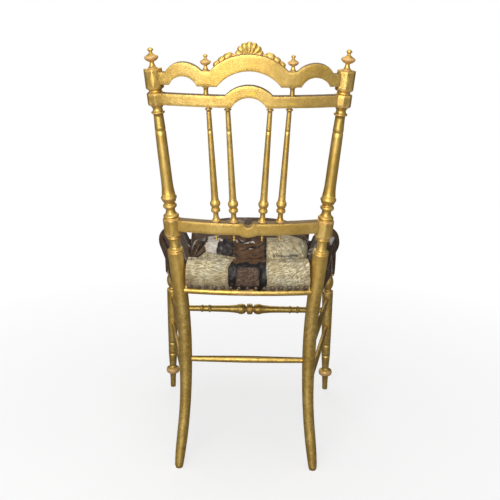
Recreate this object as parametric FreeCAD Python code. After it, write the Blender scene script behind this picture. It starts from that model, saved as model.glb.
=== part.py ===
"""Gilt turned side chair of the opera or ballroom kind, seat covered in patched hide.

Sizes are millimetres. +Z is up, the sitter faces -Y, and the back leans towards +Y.
The origin is under the middle of the chair, on the floor.
"""
import FreeCAD, Part
import math
import os
from FreeCAD import Vector, Rotation, Placement

os.makedirs("parts", exist_ok=True)

# Fits: rods in bored holes, rails in pockets, soft parts beside wood, and how far cutters run past.
joint_clearance = 0.15
soft_clearance = 0.35
cut_overrun = 3.0

# Stance of the four legs. The seat joint is where the raked back turns into the rear leg.
seat_joint_level = 393.6
back_rake = 7.92
back_splay = 4.6
rear_joint_x = 137.0
front_leg_x = 201.5
front_leg_y = -355.0
front_foot_spread = 4.0
back_bow_radius = 585.0
web_drop = 2.8
web_level = seat_joint_level - web_drop

# Origin shift: the chair is drawn with the seat joint at y = 0 and moved when written out.
# It reaches from the nail heads of the apron to the back of the crest rail's middle.
drawn_front_y = -372.8
drawn_rear_y = 99.4
middle_shift = Vector(0, -(drawn_front_y + drawn_rear_y) / 2, 0)

up = Vector(0, 0, 1)
across = Vector(1, 0, 0)
deep = Vector(0, 1, 0)
origin = Vector(0, 0, 0)


def save(shape, node):
    placed = shape.copy()
    placed.translate(middle_shift)
    placed.exportStep("parts/" + node + ".step")


def lathe(length, radius, shares):
    """Turned solid on +Z. Rows are shares of (length, radius, swell of the line to here)."""
    points = [Vector(r * radius, 0, h * length) for h, r, swell in shares]
    edges = []
    for index in range(1, len(points)):
        start = points[index - 1]
        end = points[index]
        swell = shares[index][2] * radius
        if swell == 0:
            edges.append(Part.makeLine(start, end))
        else:
            along = (end - start).normalize()
            side = Vector(along.z, 0, -along.x)
            middle = (start + end) / 2 + side * swell
            edges.append(Part.Arc(start, middle, end).toShape())
    top = Vector(0, 0, points[-1].z)
    bottom = Vector(0, 0, points[0].z)
    if points[-1].x > 0:
        edges.append(Part.makeLine(points[-1], top))
    edges.append(Part.makeLine(top, bottom))
    if points[0].x > 0:
        edges.append(Part.makeLine(bottom, points[0]))
    return Part.Face(Part.Wire(edges)).revolve(origin, up, 360)


def octagon(width, length):
    """Eight-sided block on +Z with an arris to the front, back and sides."""
    turns = [side * math.pi / 4 for side in range(8)]
    ring = [Vector(width / 2 * math.cos(a), width / 2 * math.sin(a), 0) for a in turns]
    return Part.Face(Part.makePolygon(ring + ring[:1])).extrude(Vector(0, 0, length))


def rod(start, end, radius):
    return Part.makeCylinder(radius, (end - start).Length, start, end - start)


def stood(shape, foot, along, turn=0):
    """Stand a shape drawn on +Z at a foot point, leaning along a direction."""
    moved = shape.copy()
    moved.Placement = Placement(foot, Rotation(up, along) * Rotation(up, turn))
    return moved


def mirrored(shape):
    return shape.mirror(origin, across)


def save_pair(right, node):
    """Write the right-hand piece and its mirror image."""
    save(right, node + "_right")
    save(mirrored(right), node + "_left")


def outline(points):
    """Closed face from rows of points: two make a line, three make an arc."""
    edges = []
    for row in points:
        if len(row) == 2:
            edges.append(Part.makeLine(row[0], row[1]))
        else:
            edges.append(Part.Arc(row[0], row[1], row[2]).toShape())
    return Part.Face(Part.Wire(edges))


def largest(shape):
    return max(shape.Solids, key=lambda solid: solid.Volume)


def one(shape):
    """The single solid of a result, its split faces joined."""
    return largest(shape).removeSplitter()


# The back plane: flat drawing of the back, leaned over at the seat joint.
lean = Rotation(across, -back_rake)
rake_cos = math.cos(math.radians(back_rake))
splay_cos = math.cos(math.radians(back_splay))
splay_tan = math.tan(math.radians(back_splay))
lean_place = Placement(Vector(0, 0, seat_joint_level), lean)


def on_back(level):
    """Height on the flat drawing of the back for a level above the floor."""
    return (level - seat_joint_level) / rake_cos


def post_x(height):
    """Distance of the post axis from the middle at a height on the flat drawing."""
    return rear_joint_x + height * splay_tan


def bow(x, end_x):
    """How far a bowed rail stands behind its ends at a place along it."""
    return math.sqrt(back_bow_radius ** 2 - x ** 2) - math.sqrt(back_bow_radius ** 2 - end_x ** 2)


def leaned(shape):
    moved = shape.copy()
    moved.Placement = lean_place.multiply(moved.Placement)
    return moved


def leaned_point(x, y, height):
    return lean_place.multVec(Vector(x, y, height))


# Heights of the turned stretches and blocks of the rear posts, stacked from the seat joint up.
leg_shoulder_height = 87.7
lower_turning_height = 34.7
lower_block_height = 35.4
vase_height = 47.6
column_height = 152.0
collar_height = 16.5
second_block_height = 22.5
groove_height = 6.0
upper_block_height = 35.0
leg_shoulder_level = seat_joint_level + leg_shoulder_height
lower_block_level = leg_shoulder_level + lower_turning_height
lower_block_top = lower_block_level + lower_block_height
column_level = lower_block_top + vase_height
column_top = column_level + column_height
second_block_level = column_top + collar_height
second_block_top = second_block_level + second_block_height
upper_block_level = second_block_top + groove_height
upper_block_top = upper_block_level + upper_block_height

lower_turning_radius = 14.8
lower_block_width = 35.0
vase_radius = 15.5
column_radius = 11.2
collar_radius = 12.8
second_block_width = 33.0
upper_block_width = 33.5

# Shares of (length, radius, swell) for each turned stretch of a post.
lower_turning_shares = [
    (0, 0.96, 0), (0.03, 0.90, 0), (0.05, 0.98, 0), (0.15, 0.98, 0.06), (0.19, 0.84, 0),
    (0.30, 0.68, -0.05), (0.50, 0.635, 0), (0.76, 0.65, -0.01), (0.80, 0.88, 0), (0.92, 0.88, 0.08),
    (0.95, 0.78, 0), (1, 0.84, 0)]
vase_shares = [
    (0, 0.88, 0), (0.035, 0.88, 0), (0.045, 0.94, 0), (0.13, 0.94, 0.05), (0.15, 0.86, 0),
    (0.27, 0.61, -0.06), (0.36, 0.575, 0), (0.425, 0.60, 0), (0.44, 0.77, 0), (0.585, 0.77, 0.10),
    (0.61, 0.62, 0), (0.65, 0.62, 0), (0.68, 0.74, 0), (0.785, 0.87, 0.04), (0.80, 0.92, 0),
    (0.92, 0.92, 0.07), (0.945, 0.84, 0), (1, 0.84, 0)]
column_shares = [
    (0, 1.16, 0), (0.02, 1.13, 0), (0.06, 1.05, -0.01), (0.13, 0.99, -0.01), (0.25, 0.97, 0),
    (0.79, 0.90, 0.01), (0.795, 0.84, 0), (0.81, 0.84, 0), (0.815, 0.90, 0), (1, 0.80, -0.01)]
collar_shares = [
    (0, 0.72, 0), (0.05, 0.84, 0), (0.09, 0.91, 0), (0.30, 0.91, 0.07), (0.35, 0.74, 0),
    (0.72, 0.70, -0.02), (0.80, 0.84, 0), (1, 0.90, 0)]
block_end_shares = [(0, 0.88, 0), (0.12, 1.10, 0.01), (0.88, 1.10, 0), (1, 0.88, 0.01)]
top_block_shares = [(0, 0.88, 0), (0.12, 1.10, 0.01), (1, 1.10, 0)]
groove_shares = [(0, 0.84, 0), (0.3, 0.70, 0), (0.7, 0.70, 0), (1, 0.84, 0)]


def post_height(level):
    """Distance along the leaning post axis from the seat joint."""
    return on_back(level) / splay_cos


def post_stretch(bottom, top, radius, shares):
    length = post_height(top) - post_height(bottom)
    part = lathe(length, radius, shares)
    part.translate(Vector(0, 0, post_height(bottom)))
    return part


def post_block(bottom, top, width, shares):
    """Octagonal block of a post with the corners of its ends turned down."""
    length = post_height(top) - post_height(bottom)
    block = octagon(width, length).common(lathe(length, width / 2, shares))
    block.translate(Vector(0, 0, post_height(bottom)))
    return block


# Rear leg below the turnings: rows of (share of shoulder level, inset share, set-back share, radius share).
leg_spread = 14.0
leg_sweep = 23.0
rear_leg_radius = 15.6
foot_round_share = 0.012
leg_course_shares = [
    (0.650, 0.08, -0.22, 0.90), (0.500, -0.02, -0.30, 0.87), (0.365, 0.00, -0.17, 0.79),
    (0.170, 0.44, 0.31, 0.755), (foot_round_share, 1.00, 0.97, 0.58)]
leg_waist_x = 130.0
foot_edge_share = 0.50


def rear_leg(side):
    """Round sabre leg: circles threaded on a bent line, largest under the turnings."""
    shoulder = on_back(leg_shoulder_level)
    splayed = Vector(side * splay_tan, 0, 1)
    axis = lean.multVec(splayed).normalize()
    joint = leaned_point(side * post_x(0), 0, 0)
    top = leaned_point(side * post_x(shoulder), 0, shoulder)
    course = [top, joint]
    sizes = [1, 0.94]
    for level_share, inset_share, sweep_share, size_share in leg_course_shares:
        level = level_share * leg_shoulder_level
        course.append(Vector(side * (leg_waist_x + leg_spread * inset_share), leg_sweep * sweep_share, level))
        sizes.append(size_share)
    line = Part.BSplineCurve()
    final = (course[-1] - course[-2]).normalize()
    line.interpolate(Points=course, InitialTangent=axis * -1, FinalTangent=final)
    wires = []
    for point, size in zip(course, sizes):
        tangent = line.tangent(line.parameter(point))[0]
        if point is top:
            tangent = axis * -1
        if point is course[-1]:
            tangent = up * -1
        wires.append(Part.Wire(Part.makeCircle(rear_leg_radius * size, point, tangent * -1)))
    shaft = Part.makeLoft(wires, True, False)
    foot_height = course[-1].z
    foot_radius = rear_leg_radius * sizes[-1]
    foot_base = Vector(course[-1].x, course[-1].y, 0)
    foot = Part.makeCone(foot_radius * (1 - foot_edge_share / 3), foot_radius, foot_height, foot_base)
    return shaft.fuse(foot)


def rear_post(side):
    """Turned upper post with its octagonal blocks."""
    parts = [
        post_stretch(leg_shoulder_level, lower_block_level, lower_turning_radius, lower_turning_shares),
        post_block(lower_block_level, lower_block_top, lower_block_width, block_end_shares),
        post_stretch(lower_block_top, column_level, vase_radius, vase_shares),
        post_stretch(column_level, column_top, column_radius, column_shares),
        post_stretch(column_top, second_block_level, collar_radius, collar_shares),
        post_block(second_block_level, second_block_top, second_block_width, block_end_shares),
        post_stretch(second_block_top, upper_block_level, upper_block_width / 2, groove_shares),
        post_block(upper_block_level, upper_block_top, upper_block_width, top_block_shares)]
    splay_turn = Placement(Vector(side * rear_joint_x, 0, 0), Rotation(deep, side * back_splay))
    upright = []
    for part in parts:
        part.Placement = splay_turn.multiply(part.Placement)
        upright.append(leaned(part))
    return upright[0].multiFuse(upright[1:] + [rear_leg(side)])


# Rails of the back, cut from board and bowed so that the middle stands behind the ends.
board_thickness = 18.0
rail_tenon_length = 11.0
rail_tenon_radius = 4.5
rail_tenon_stop = 4.0

crest_lift = 9.0
crest_end_height = 21.0
crest_arch_rise = 18.5
crest_arch_inner_rise = 16.0
crest_middle_rise = 34.0
crest_middle_inner_rise = 27.3
crest_dip_rise = 5.0
crest_end_bottom = upper_block_level + crest_lift
crest_end_top = crest_end_bottom + crest_end_height
crest_arch_top = crest_end_top + crest_arch_rise
crest_arch_inner = crest_end_bottom + crest_arch_inner_rise
crest_middle_top = crest_end_top + crest_middle_rise
crest_middle_inner = crest_end_bottom + crest_middle_inner_rise
crest_dip_level = crest_end_top + crest_dip_rise

crest_spindle_x = 76.5
crest_dip_half = 7.5
crest_arch_half = 33.0
crest_arch_outer_half = 26.0
crest_arch_inner_half = 24.5
crest_middle_inset = 12.5
crest_dip_inner_x = crest_spindle_x - crest_dip_half
crest_dip_outer_x = crest_spindle_x + crest_dip_half
crest_arch_x = crest_dip_outer_x + crest_arch_half
crest_arch_end_x = crest_arch_x + crest_arch_half
crest_arch_outer_x = crest_arch_x + crest_arch_outer_half
crest_arch_inner_x = crest_arch_x - crest_arch_inner_half
crest_middle_x = crest_dip_inner_x - crest_middle_inset

mid_rail_lift = 1.7
mid_rail_height = 20.2
mid_arch_rise = 18.1
mid_arch_inner_rise = 17.8
mid_arch_half = 42.5
mid_arch_inset = 11.5
mid_rail_bottom = second_block_level + mid_rail_lift
mid_rail_top = mid_rail_bottom + mid_rail_height
mid_arch_top = mid_rail_top + mid_arch_rise
mid_arch_inner = mid_rail_bottom + mid_arch_inner_rise
mid_arch_inner_x = mid_arch_half - mid_arch_inset

lower_rail_lift = 11.5
lower_rail_height = 22.3
lower_rail_bottom = lower_block_level + lower_rail_lift
lower_rail_top = lower_rail_bottom + lower_rail_height
lower_rail_drop = 4.6
lower_drop_x = 17.0
drop_swell_share = 0.30
notch_radius = 8.4
notch_depth = 7.6
notch_turn_share = 0.60
notch_swell_share = 0.40


def drawn(x, level):
    return Vector(x, 0, on_back(level))


def bowed_rail(face, end_level):
    """Give a flat outline its thickness along the bow of the back."""
    end_x = post_x(on_back(end_level))
    sagitta = bow(0, end_x)
    centre = Vector(0, sagitta - back_bow_radius, 0)
    tall = face.BoundBox.ZLength + 2 * cut_overrun
    base = centre + Vector(0, 0, face.BoundBox.ZMin - cut_overrun)
    outer = Part.makeCylinder(back_bow_radius + board_thickness / 2, tall, base)
    inner = Part.makeCylinder(back_bow_radius - board_thickness / 2, tall, base)
    reach = sagitta + board_thickness
    slab = face.extrude(Vector(0, 2 * reach, 0))
    slab.translate(Vector(0, -reach, 0))
    return slab.common(outer.cut(inner))


def both_sides(right_rows):
    """Mirror rows of points drawn on the +X half and chain them into one closed outline."""
    left_rows = []
    for row in reversed(right_rows):
        left_rows.append([Vector(-point.x, point.y, point.z) for point in reversed(row)])
    return right_rows + left_rows


def arch_down(crown, foot):
    """Row for half of a round arch, from its level crown down to a foot."""
    half = abs(foot.x - crown.x)
    drop = crown.z - foot.z
    radius = (half ** 2 + drop ** 2) / (2 * drop)
    turn = math.atan2(half, radius - drop) / 2
    way = math.copysign(1, foot.x - crown.x)
    middle = Vector(crown.x + way * radius * math.sin(turn), 0, crown.z - radius * (1 - math.cos(turn)))
    return [crown, middle, foot]


def arch_up(foot, crown):
    return arch_down(crown, foot)[::-1]


def crest_outline():
    end_x = post_x(on_back(crest_end_top))
    dip_in = drawn(crest_dip_inner_x, crest_dip_level)
    dip_out = drawn(crest_dip_outer_x, crest_dip_level)
    arch_top = drawn(crest_arch_x, crest_arch_top)
    arch_out = drawn(crest_arch_end_x, crest_end_top)
    end_top = drawn(end_x, crest_end_top)
    end_bottom = drawn(end_x, crest_end_bottom)
    arch_foot = drawn(crest_arch_outer_x, crest_end_bottom)
    arch_inner = drawn(crest_arch_x, crest_arch_inner)
    arch_end = drawn(crest_arch_inner_x, crest_end_bottom)
    middle_foot = drawn(crest_middle_x, crest_end_bottom)
    rows = [
        arch_down(drawn(0, crest_middle_top), dip_in),
        [dip_in, dip_out],
        arch_up(dip_out, arch_top),
        arch_down(arch_top, arch_out),
        [arch_out, end_top],
        [end_top, end_bottom],
        [end_bottom, arch_foot],
        arch_up(arch_foot, arch_inner),
        arch_down(arch_inner, arch_end),
        [arch_end, middle_foot],
        arch_up(middle_foot, drawn(0, crest_middle_inner))]
    return outline(both_sides(rows))


def mid_outline():
    end_x = post_x(on_back(mid_rail_top))
    shoulder = drawn(mid_arch_half, mid_rail_top)
    end_top = drawn(end_x, mid_rail_top)
    end_bottom = drawn(end_x, mid_rail_bottom)
    foot = drawn(mid_arch_inner_x, mid_rail_bottom)
    rows = [
        arch_down(drawn(0, mid_arch_top), shoulder),
        [shoulder, end_top],
        [end_top, end_bottom],
        [end_bottom, foot],
        arch_up(foot, drawn(0, mid_arch_inner))]
    return outline(both_sides(rows))


def lower_outline():
    end_x = post_x(on_back(lower_rail_top))
    notch_edge = drawn(notch_radius, lower_rail_top)
    notch_low = drawn(0, lower_rail_top) - up * notch_depth
    notch_slope = drawn(notch_radius, lower_rail_top) * notch_turn_share + notch_low * (1 - notch_turn_share)
    end_top = drawn(end_x, lower_rail_top)
    end_bottom = drawn(end_x, lower_rail_bottom)
    drop_start = drawn(lower_drop_x, lower_rail_bottom)
    drop_low = drawn(0, lower_rail_bottom - lower_rail_drop)
    drop_half = (drop_start + drop_low) / 2 - up * lower_rail_drop * drop_swell_share
    rows = [
        [notch_low, notch_slope - up * notch_depth * notch_swell_share, notch_edge],
        [notch_edge, end_top],
        [end_top, end_bottom],
        [end_bottom, drop_start],
        [drop_start, drop_half, drop_low]]
    return outline(both_sides(rows))


def block_room(side, bottom, top, width):
    """The room that a post block takes out of a rail end, a clearance all round."""
    room = octagon(width + 2 * joint_clearance, post_height(top) - post_height(bottom))
    room.translate(Vector(0, 0, post_height(bottom)))
    splay_turn = Placement(Vector(side * rear_joint_x, 0, 0), Rotation(deep, side * back_splay))
    room.Placement = splay_turn.multiply(room.Placement)
    return leaned(room)


def rail_pins(bottom, top, grow=0):
    """Round tenons at both ends of a back rail."""
    middle = on_back((bottom + top) / 2)
    stop = post_x(middle) - rail_tenon_stop + grow
    pins = []
    for side in (-1, 1):
        outer = leaned_point(side * stop, 0, middle)
        inner = leaned_point(side * (stop - 2 * rail_tenon_length), 0, middle)
        pins.append(rod(inner, outer, rail_tenon_radius + grow))
    return pins


def fitted_rail(face, rail_levels, block_levels, block_width):
    """Bow and lean a rail outline, fit its ends round the post blocks and add the tenons."""
    rail = leaned(bowed_rail(face, rail_levels[1]))
    for side in (-1, 1):
        rail = one(rail.cut(block_room(side, *block_levels, block_width)))
    return rail.multiFuse(rail_pins(*rail_levels))


crest_levels = (crest_end_bottom, crest_end_top)
mid_levels = (mid_rail_bottom, mid_rail_top)
lower_levels = (lower_rail_bottom, lower_rail_top)
crest_rail = fitted_rail(crest_outline(), crest_levels, (upper_block_level, upper_block_top), upper_block_width)
mid_rail = fitted_rail(mid_outline(), mid_levels, (second_block_level, second_block_top), second_block_width)
lower_rail = fitted_rail(lower_outline(), lower_levels, (lower_block_level, lower_block_top), lower_block_width)
right_post = rear_post(-1)
for levels in (crest_levels, mid_levels, lower_levels):
    right_post = right_post.cut(rail_pins(*levels, joint_clearance))

# Finials on the posts: a small ball over a flat knop on a trumpet foot, with a peg below.
post_finial_height = 36.6
post_finial_radius = 12.6
finial_peg_radius = 3.5
finial_peg_length = 9.0
finial_shares = [
    (0, 0.68, 0), (0.04, 0.68, 0), (0.20, 0.36, -0.06), (0.27, 0.30, 0), (0.32, 0.32, 0),
    (0.47, 0.96, 0.06), (0.53, 1, 0.03), (0.61, 0.80, 0.04), (0.70, 0.36, -0.02), (0.77, 0.22, -0.02),
    (0.80, 0.25, 0), (0.86, 0.40, 0), (0.89, 0.40, 0.03), (0.96, 0.22, 0.04), (1, 0.03, 0.01)]


def finial(height, radius):
    return lathe(height, radius, finial_shares).fuse(rod(up * -finial_peg_length, origin + up, finial_peg_radius))


def peg_room(foot, along):
    room = rod(up * -(finial_peg_length + joint_clearance), up * cut_overrun, finial_peg_radius + joint_clearance)
    return stood(room, foot, along)


post_top = on_back(upper_block_top)
post_top_point = leaned_point(-post_x(post_top), 0, post_top)
post_along = lean.multVec(Vector(-splay_tan, 0, 1))
right_post = right_post.cut(peg_room(post_top_point, post_along))
save_pair(stood(finial(post_finial_height, post_finial_radius), post_top_point, post_along), "post_finial")

# Small finials on the dips of the crest rail, over the short spindles.
inner_finial_height = 28.5
inner_finial_radius = 9.6
finial_along = lean.multVec(up)
crest_end_x = post_x(on_back(crest_end_top))
mid_end_x = post_x(on_back(mid_rail_top))
lower_end_x = post_x(on_back(lower_rail_top))
dip_point = leaned_point(-crest_spindle_x, bow(crest_spindle_x, crest_end_x), on_back(crest_dip_level))
dip_room = peg_room(dip_point, finial_along)
crest_rail = crest_rail.cut([dip_room, mirrored(dip_room)])
save_pair(stood(finial(inner_finial_height, inner_finial_radius), dip_point, finial_along), "inner_finial")

# Spindles: turned rods with a round peg at each end, bored into the rails.
spindle_peg_radius = 3.0
spindle_peg_length = 7.0


def spindle(bottom, top, radius, shares):
    """A spindle between two points with its pegs, and the room its pegs need."""
    along = (top - bottom).normalize()
    length = (top - bottom).Length
    pegs = rod(up * -spindle_peg_length, up * (length + spindle_peg_length), spindle_peg_radius)
    reach = spindle_peg_length + joint_clearance
    room = rod(up * -reach, up * (length + reach), spindle_peg_radius + joint_clearance)
    return stood(lathe(length, radius, shares).fuse(pegs), bottom, along), stood(room, bottom, along)


short_spindle_radius = 7.2
short_spindle_shares = [(0, 0.62, 0), (0.60, 0.56, 0), (0.76, 0.60, 0), (0.90, 0.96, -0.06), (1, 1, 0)]
short_top = leaned_point(-crest_spindle_x, bow(crest_spindle_x, crest_end_x), on_back(crest_end_bottom))
short_foot = leaned_point(-crest_spindle_x, bow(crest_spindle_x, mid_end_x), on_back(mid_rail_top))
short_spindle, room = spindle(short_foot, short_top, short_spindle_radius, short_spindle_shares)
crest_rail = crest_rail.cut([room, mirrored(room)])
mid_rail = mid_rail.cut([room, mirrored(room)])

long_spindle_radius = 9.8
long_spindle_tops = [72.6, 38.0]
long_spindle_feet = [61.0, 27.0]
long_spindle_shares = [
    (0, 0.74, 0), (0.006, 0.82, 0), (0.024, 0.82, 0.05), (0.034, 0.60, -0.02), (0.060, 0.51, -0.01),
    (0.092, 0.51, 0), (0.098, 0.84, 0), (0.124, 0.84, 0.06), (0.130, 0.62, 0), (0.134, 0.66, 0),
    (0.152, 0.86, 0.03), (0.156, 0.95, 0), (0.186, 0.95, 0.06), (0.192, 0.80, 0), (0.235, 0.69, -0.02),
    (0.30, 0.665, 0), (0.80, 0.50, 0), (0.802, 0.46, 0), (0.808, 0.46, 0),
    (0.810, 0.50, 0), (0.972, 0.44, 0), (0.975, 0.62, 0), (0.985, 0.62, 0.05), (0.988, 0.44, 0), (1, 0.46, 0)]

# Pendant drops glued under the lower rail, one below each spindle.
drop_length = 16.0
drop_radius = 4.2
drop_peg_length = 6.0
drop_peg_radius = 1.8
drop_shares = [
    (0, 0.10, 0), (0.08, 0.42, 0.10), (0.20, 0.50, 0.06), (0.30, 0.36, 0), (0.36, 0.36, 0),
    (0.44, 0.62, 0), (0.54, 0.62, 0.10), (0.60, 0.50, 0), (0.80, 0.74, -0.03), (0.90, 1, 0), (1, 1, 0.03)]

long_spindles = {}
for name, top_x, foot_x in zip(("outer", "inner"), long_spindle_tops, long_spindle_feet):
    top = leaned_point(-top_x, bow(top_x, mid_end_x), on_back(mid_rail_bottom))
    bottom = leaned_point(-foot_x, bow(foot_x, lower_end_x), on_back(lower_rail_top))
    long_spindles[name], room = spindle(bottom, top, long_spindle_radius, long_spindle_shares)
    mid_rail = mid_rail.cut([room, mirrored(room)])
    lower_rail = lower_rail.cut([room, mirrored(room)])
    hang = leaned_point(-foot_x, bow(foot_x, lower_end_x), on_back(lower_rail_bottom))
    drop = lathe(drop_length, drop_radius, drop_shares)
    drop.translate(up * -drop_length)
    drop = drop.fuse(rod(up * -drop_peg_radius, up * drop_peg_length, drop_peg_radius))
    room = rod(up * -cut_overrun, up * (drop_peg_length + joint_clearance), drop_peg_radius + joint_clearance)
    room = stood(room, hang, finial_along)
    lower_rail = lower_rail.cut([room, mirrored(room)])
    save_pair(stood(drop, hang, finial_along), "pendant_drop_" + name)
save_pair(one(short_spindle.cut([crest_rail, mid_rail])), "short_spindle")
for name, piece in long_spindles.items():
    save_pair(one(piece.cut([lower_rail, mid_rail])), "back_spindle_" + name)

# Carved crest: a shell of flutes between trailing leaves, one piece glued along the middle arch.
shell_flutes = 7
shell_spread = 128.0
shell_height = 29.5
shell_side_share = 0.84
shell_root_drop = 9.0
flute_radius = 6.2
flute_shares = [(0, 0.45, 0), (0.62, 0.92, 0.05), (0.86, 0.86, 0.08), (1, 0.20, 0.16)]
leaf_turns = [22.0, 29.0, 36.0]
leaf_lengths = [19.0, 17.0, 14.0]
leaf_radii = [6.8, 5.8, 4.6]
leaf_droop = 8.0
leaf_lift_share = 0.35
leaf_shares = [(0, 0.15, 0), (0.25, 0.80, 0.12), (0.65, 1, 0.05), (1, 0.25, 0.18)]
carving_bed = 3.0
carving_depth = 9.0
carving_bed_turn = 38.0
carving_front = board_thickness / 4


def middle_arch_radius():
    """Radius of the top edge of the crest rail's middle arch."""
    rise = on_back(crest_middle_top) - on_back(crest_dip_level)
    return (crest_dip_inner_x ** 2 + rise ** 2) / (2 * rise)


def on_arch(turn, radius, depth):
    """Point over the middle arch, turned from upright by an angle."""
    angle = math.radians(turn)
    centre_height = on_back(crest_middle_top) - middle_arch_radius()
    return Vector(radius * math.sin(angle), depth, centre_height + radius * math.cos(angle))


def arch_band(inner, outer, turn, depth):
    """Curved strip that follows the middle arch."""
    rows = [[on_arch(-turn, outer, 0), on_arch(0, outer, 0), on_arch(turn, outer, 0)],
            [on_arch(turn, outer, 0), on_arch(turn, inner, 0)],
            [on_arch(turn, inner, 0), on_arch(0, inner, 0), on_arch(-turn, inner, 0)],
            [on_arch(-turn, inner, 0), on_arch(-turn, outer, 0)]]
    band = outline(rows).extrude(Vector(0, depth, 0))
    return band


def carving():
    radius = middle_arch_radius()
    crown_y = bow(0, crest_end_x) - carving_front
    root = Vector(0, crown_y, on_back(crest_middle_top - shell_root_drop))
    bed = arch_band(radius, radius + carving_bed, carving_bed_turn, carving_depth)
    bed.translate(Vector(0, crown_y - carving_depth / 2, 0))
    pieces = []
    for index in range(shell_flutes):
        angle = math.radians((index / (shell_flutes - 1) - 1 / 2) * shell_spread)
        along = Vector(math.sin(angle), 0, math.cos(angle))
        length = shell_height * (shell_side_share + (1 - shell_side_share) * math.cos(angle))
        pieces.append(stood(lathe(length, flute_radius, flute_shares), root, along))
    for side in (-1, 1):
        for turn, length, size in zip(leaf_turns, leaf_lengths, leaf_radii):
            tilt = math.radians(turn + leaf_droop)
            along = Vector(side * math.cos(tilt), 0, -math.sin(tilt))
            place = on_arch(side * turn, radius + size * leaf_lift_share, crown_y)
            pieces.append(stood(lathe(length, size, leaf_shares), place - along * length / 2, along))
    room = Part.makeCylinder(radius + joint_clearance, 2 * board_thickness, on_arch(0, 0, 0), deep)
    room.translate(Vector(0, crown_y - board_thickness, 0))
    return leaned(bed.multiFuse(pieces).cut(room))


# Front legs: square head in the seat corner, ball, long tapered shaft, flat disc and small foot.
head_width = 26.0
head_square_height = 70.0
head_round_height = 12.0
front_rail_height = 62.8
head_below_rail = 2.0
ball_height = 47.0
disc_height = 60.0
front_rail_bottom = web_level - front_rail_height
head_bottom = front_rail_bottom - head_below_rail
head_square_top = head_bottom + head_square_height
head_top = head_square_top + head_round_height
ball_bottom = head_bottom - ball_height
ball_radius = 14.2
shaft_radius = 14.0
disc_radius = 17.4
ball_shares = [(0, 0.90, 0), (0.03, 0.64, 0), (0.10, 0.60, 0), (0.90, 0.60, 0.40), (1, 0.66, 0)]
shaft_shares = [
    (0, 0.62, 0), (0.03, 0.66, 0), (0.17, 0.80, 0), (0.172, 0.76, 0), (0.182, 0.76, 0), (0.184, 0.81, 0),
    (0.31, 0.83, 0), (0.312, 0.79, 0), (0.322, 0.79, 0), (0.324, 0.84, 0), (0.93, 0.99, 0.01), (1, 0.99, 0.01)]
disc_shares = [
    (0, 0.38, 0), (0.12, 0.40, 0), (0.50, 0.44, -0.01), (0.66, 0.56, -0.03), (0.72, 0.92, 0),
    (0.92, 0.92, 0.09), (0.95, 0.60, 0), (1, 0.50, 0)]

# Padded rolls along both sides, thicker in front, where they end in a round head.
hide_thickness = 2.5
side_roll_rear_inset = 13.0
side_roll_rear_setback = 16.0
side_roll_rear_rise = 31.2
side_roll_front_inset = 8.5
side_roll_front_setback = 22.0
side_roll_front_rise = 24.2
side_roll_rear_radius = 31.0
side_roll_front_radius = 38.0
side_roll_rear = Vector(rear_joint_x - side_roll_rear_inset, -side_roll_rear_setback,
                        web_level + side_roll_rear_rise)
side_roll_front = Vector(front_leg_x - side_roll_front_inset, front_leg_y + side_roll_front_setback,
                         web_level + side_roll_front_rise)


def leg_axis(side, level):
    """Axis point of a front leg at a level."""
    spread = front_foot_spread * (1 - level / head_bottom)
    return Vector(side * (front_leg_x + spread), front_leg_y, level)


def on_side(side, point):
    return Vector(side * point.x, point.y, point.z)


def head_block(side, bottom, grow):
    """Square leg head, its top corners rasped round under the padded roll."""
    width = head_width + 2 * grow
    corner = Vector(side * front_leg_x - width / 2, front_leg_y - width / 2, bottom - grow)
    block = Part.makeBox(width, width, head_top - bottom + 2 * grow, corner)
    waste_corner = Vector(corner.x - cut_overrun, corner.y - cut_overrun, head_square_top + grow)
    waste_width = width + 2 * cut_overrun
    waste = Part.makeBox(waste_width, waste_width, head_top - head_square_top + cut_overrun, waste_corner)
    round_radius = side_roll_front_radius - hide_thickness + grow
    return block.cut(waste.cut(Part.makeSphere(round_radius, on_side(side, side_roll_front))))


def front_leg(side):
    """Turned leg, spread a little at the foot, with its upright square head."""
    foot_lean = Vector(-side * front_foot_spread, 0, head_bottom)
    shaft = lathe(ball_bottom - disc_height, shaft_radius, shaft_shares)
    shaft.translate(up * disc_height)
    ball = lathe(head_bottom - ball_bottom, ball_radius, ball_shares)
    ball.translate(up * ball_bottom)
    turned = shaft.multiFuse([ball, lathe(disc_height, disc_radius, disc_shares)])
    foot = leg_axis(side, 0)
    turned = stood(turned, foot, foot_lean)
    floor = Part.makeBox(2 * disc_radius, 2 * disc_radius, cut_overrun)
    floor.translate(foot - Vector(disc_radius, disc_radius, cut_overrun))
    neck_lap = ball_radius / 4
    return turned.cut(floor).fuse(head_block(side, head_bottom - neck_lap, 0))


# Seat frame rails with tongues let into the posts and leg heads.
rail_thickness = 18.0
band_thickness = 1.2
side_rail_rise = 19.2
rear_rail_height = 32.0
rear_wall_height = 62.15
side_rail_top = web_level + side_rail_rise
rear_rail_bottom = web_level + band_thickness
rear_rail_top = rear_rail_bottom + rear_rail_height
rear_rail_bow = 12.0
nosing_height = 12.5
nosing_depth = 4.0
tongue_length = 7.5
tongue_width = 7.0
tongue_shoulder = 4.0
tongue_stop = 5.5
post_room_radius = 15.6
hide_room_radius = 16.4
rear_bow_radius = (rear_joint_x ** 2 + rear_rail_bow ** 2) / (2 * rear_rail_bow)
rear_pivot = Vector(0, rear_rail_bow - rear_bow_radius, 0)
rear_half_turn = math.degrees(math.asin(rear_joint_x / rear_bow_radius))

right_leg = front_leg(-1)


def post_room(side, radius):
    """A round room for a rear post where the seat meets it."""
    axis = lean.multVec(Vector(side * splay_tan, 0, 1)).normalize()
    joint = leaned_point(side * post_x(0), 0, 0)
    reach = rear_rail_top + rear_wall_height - seat_joint_level
    return rod(joint - axis * reach, joint + axis * reach, radius)


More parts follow.
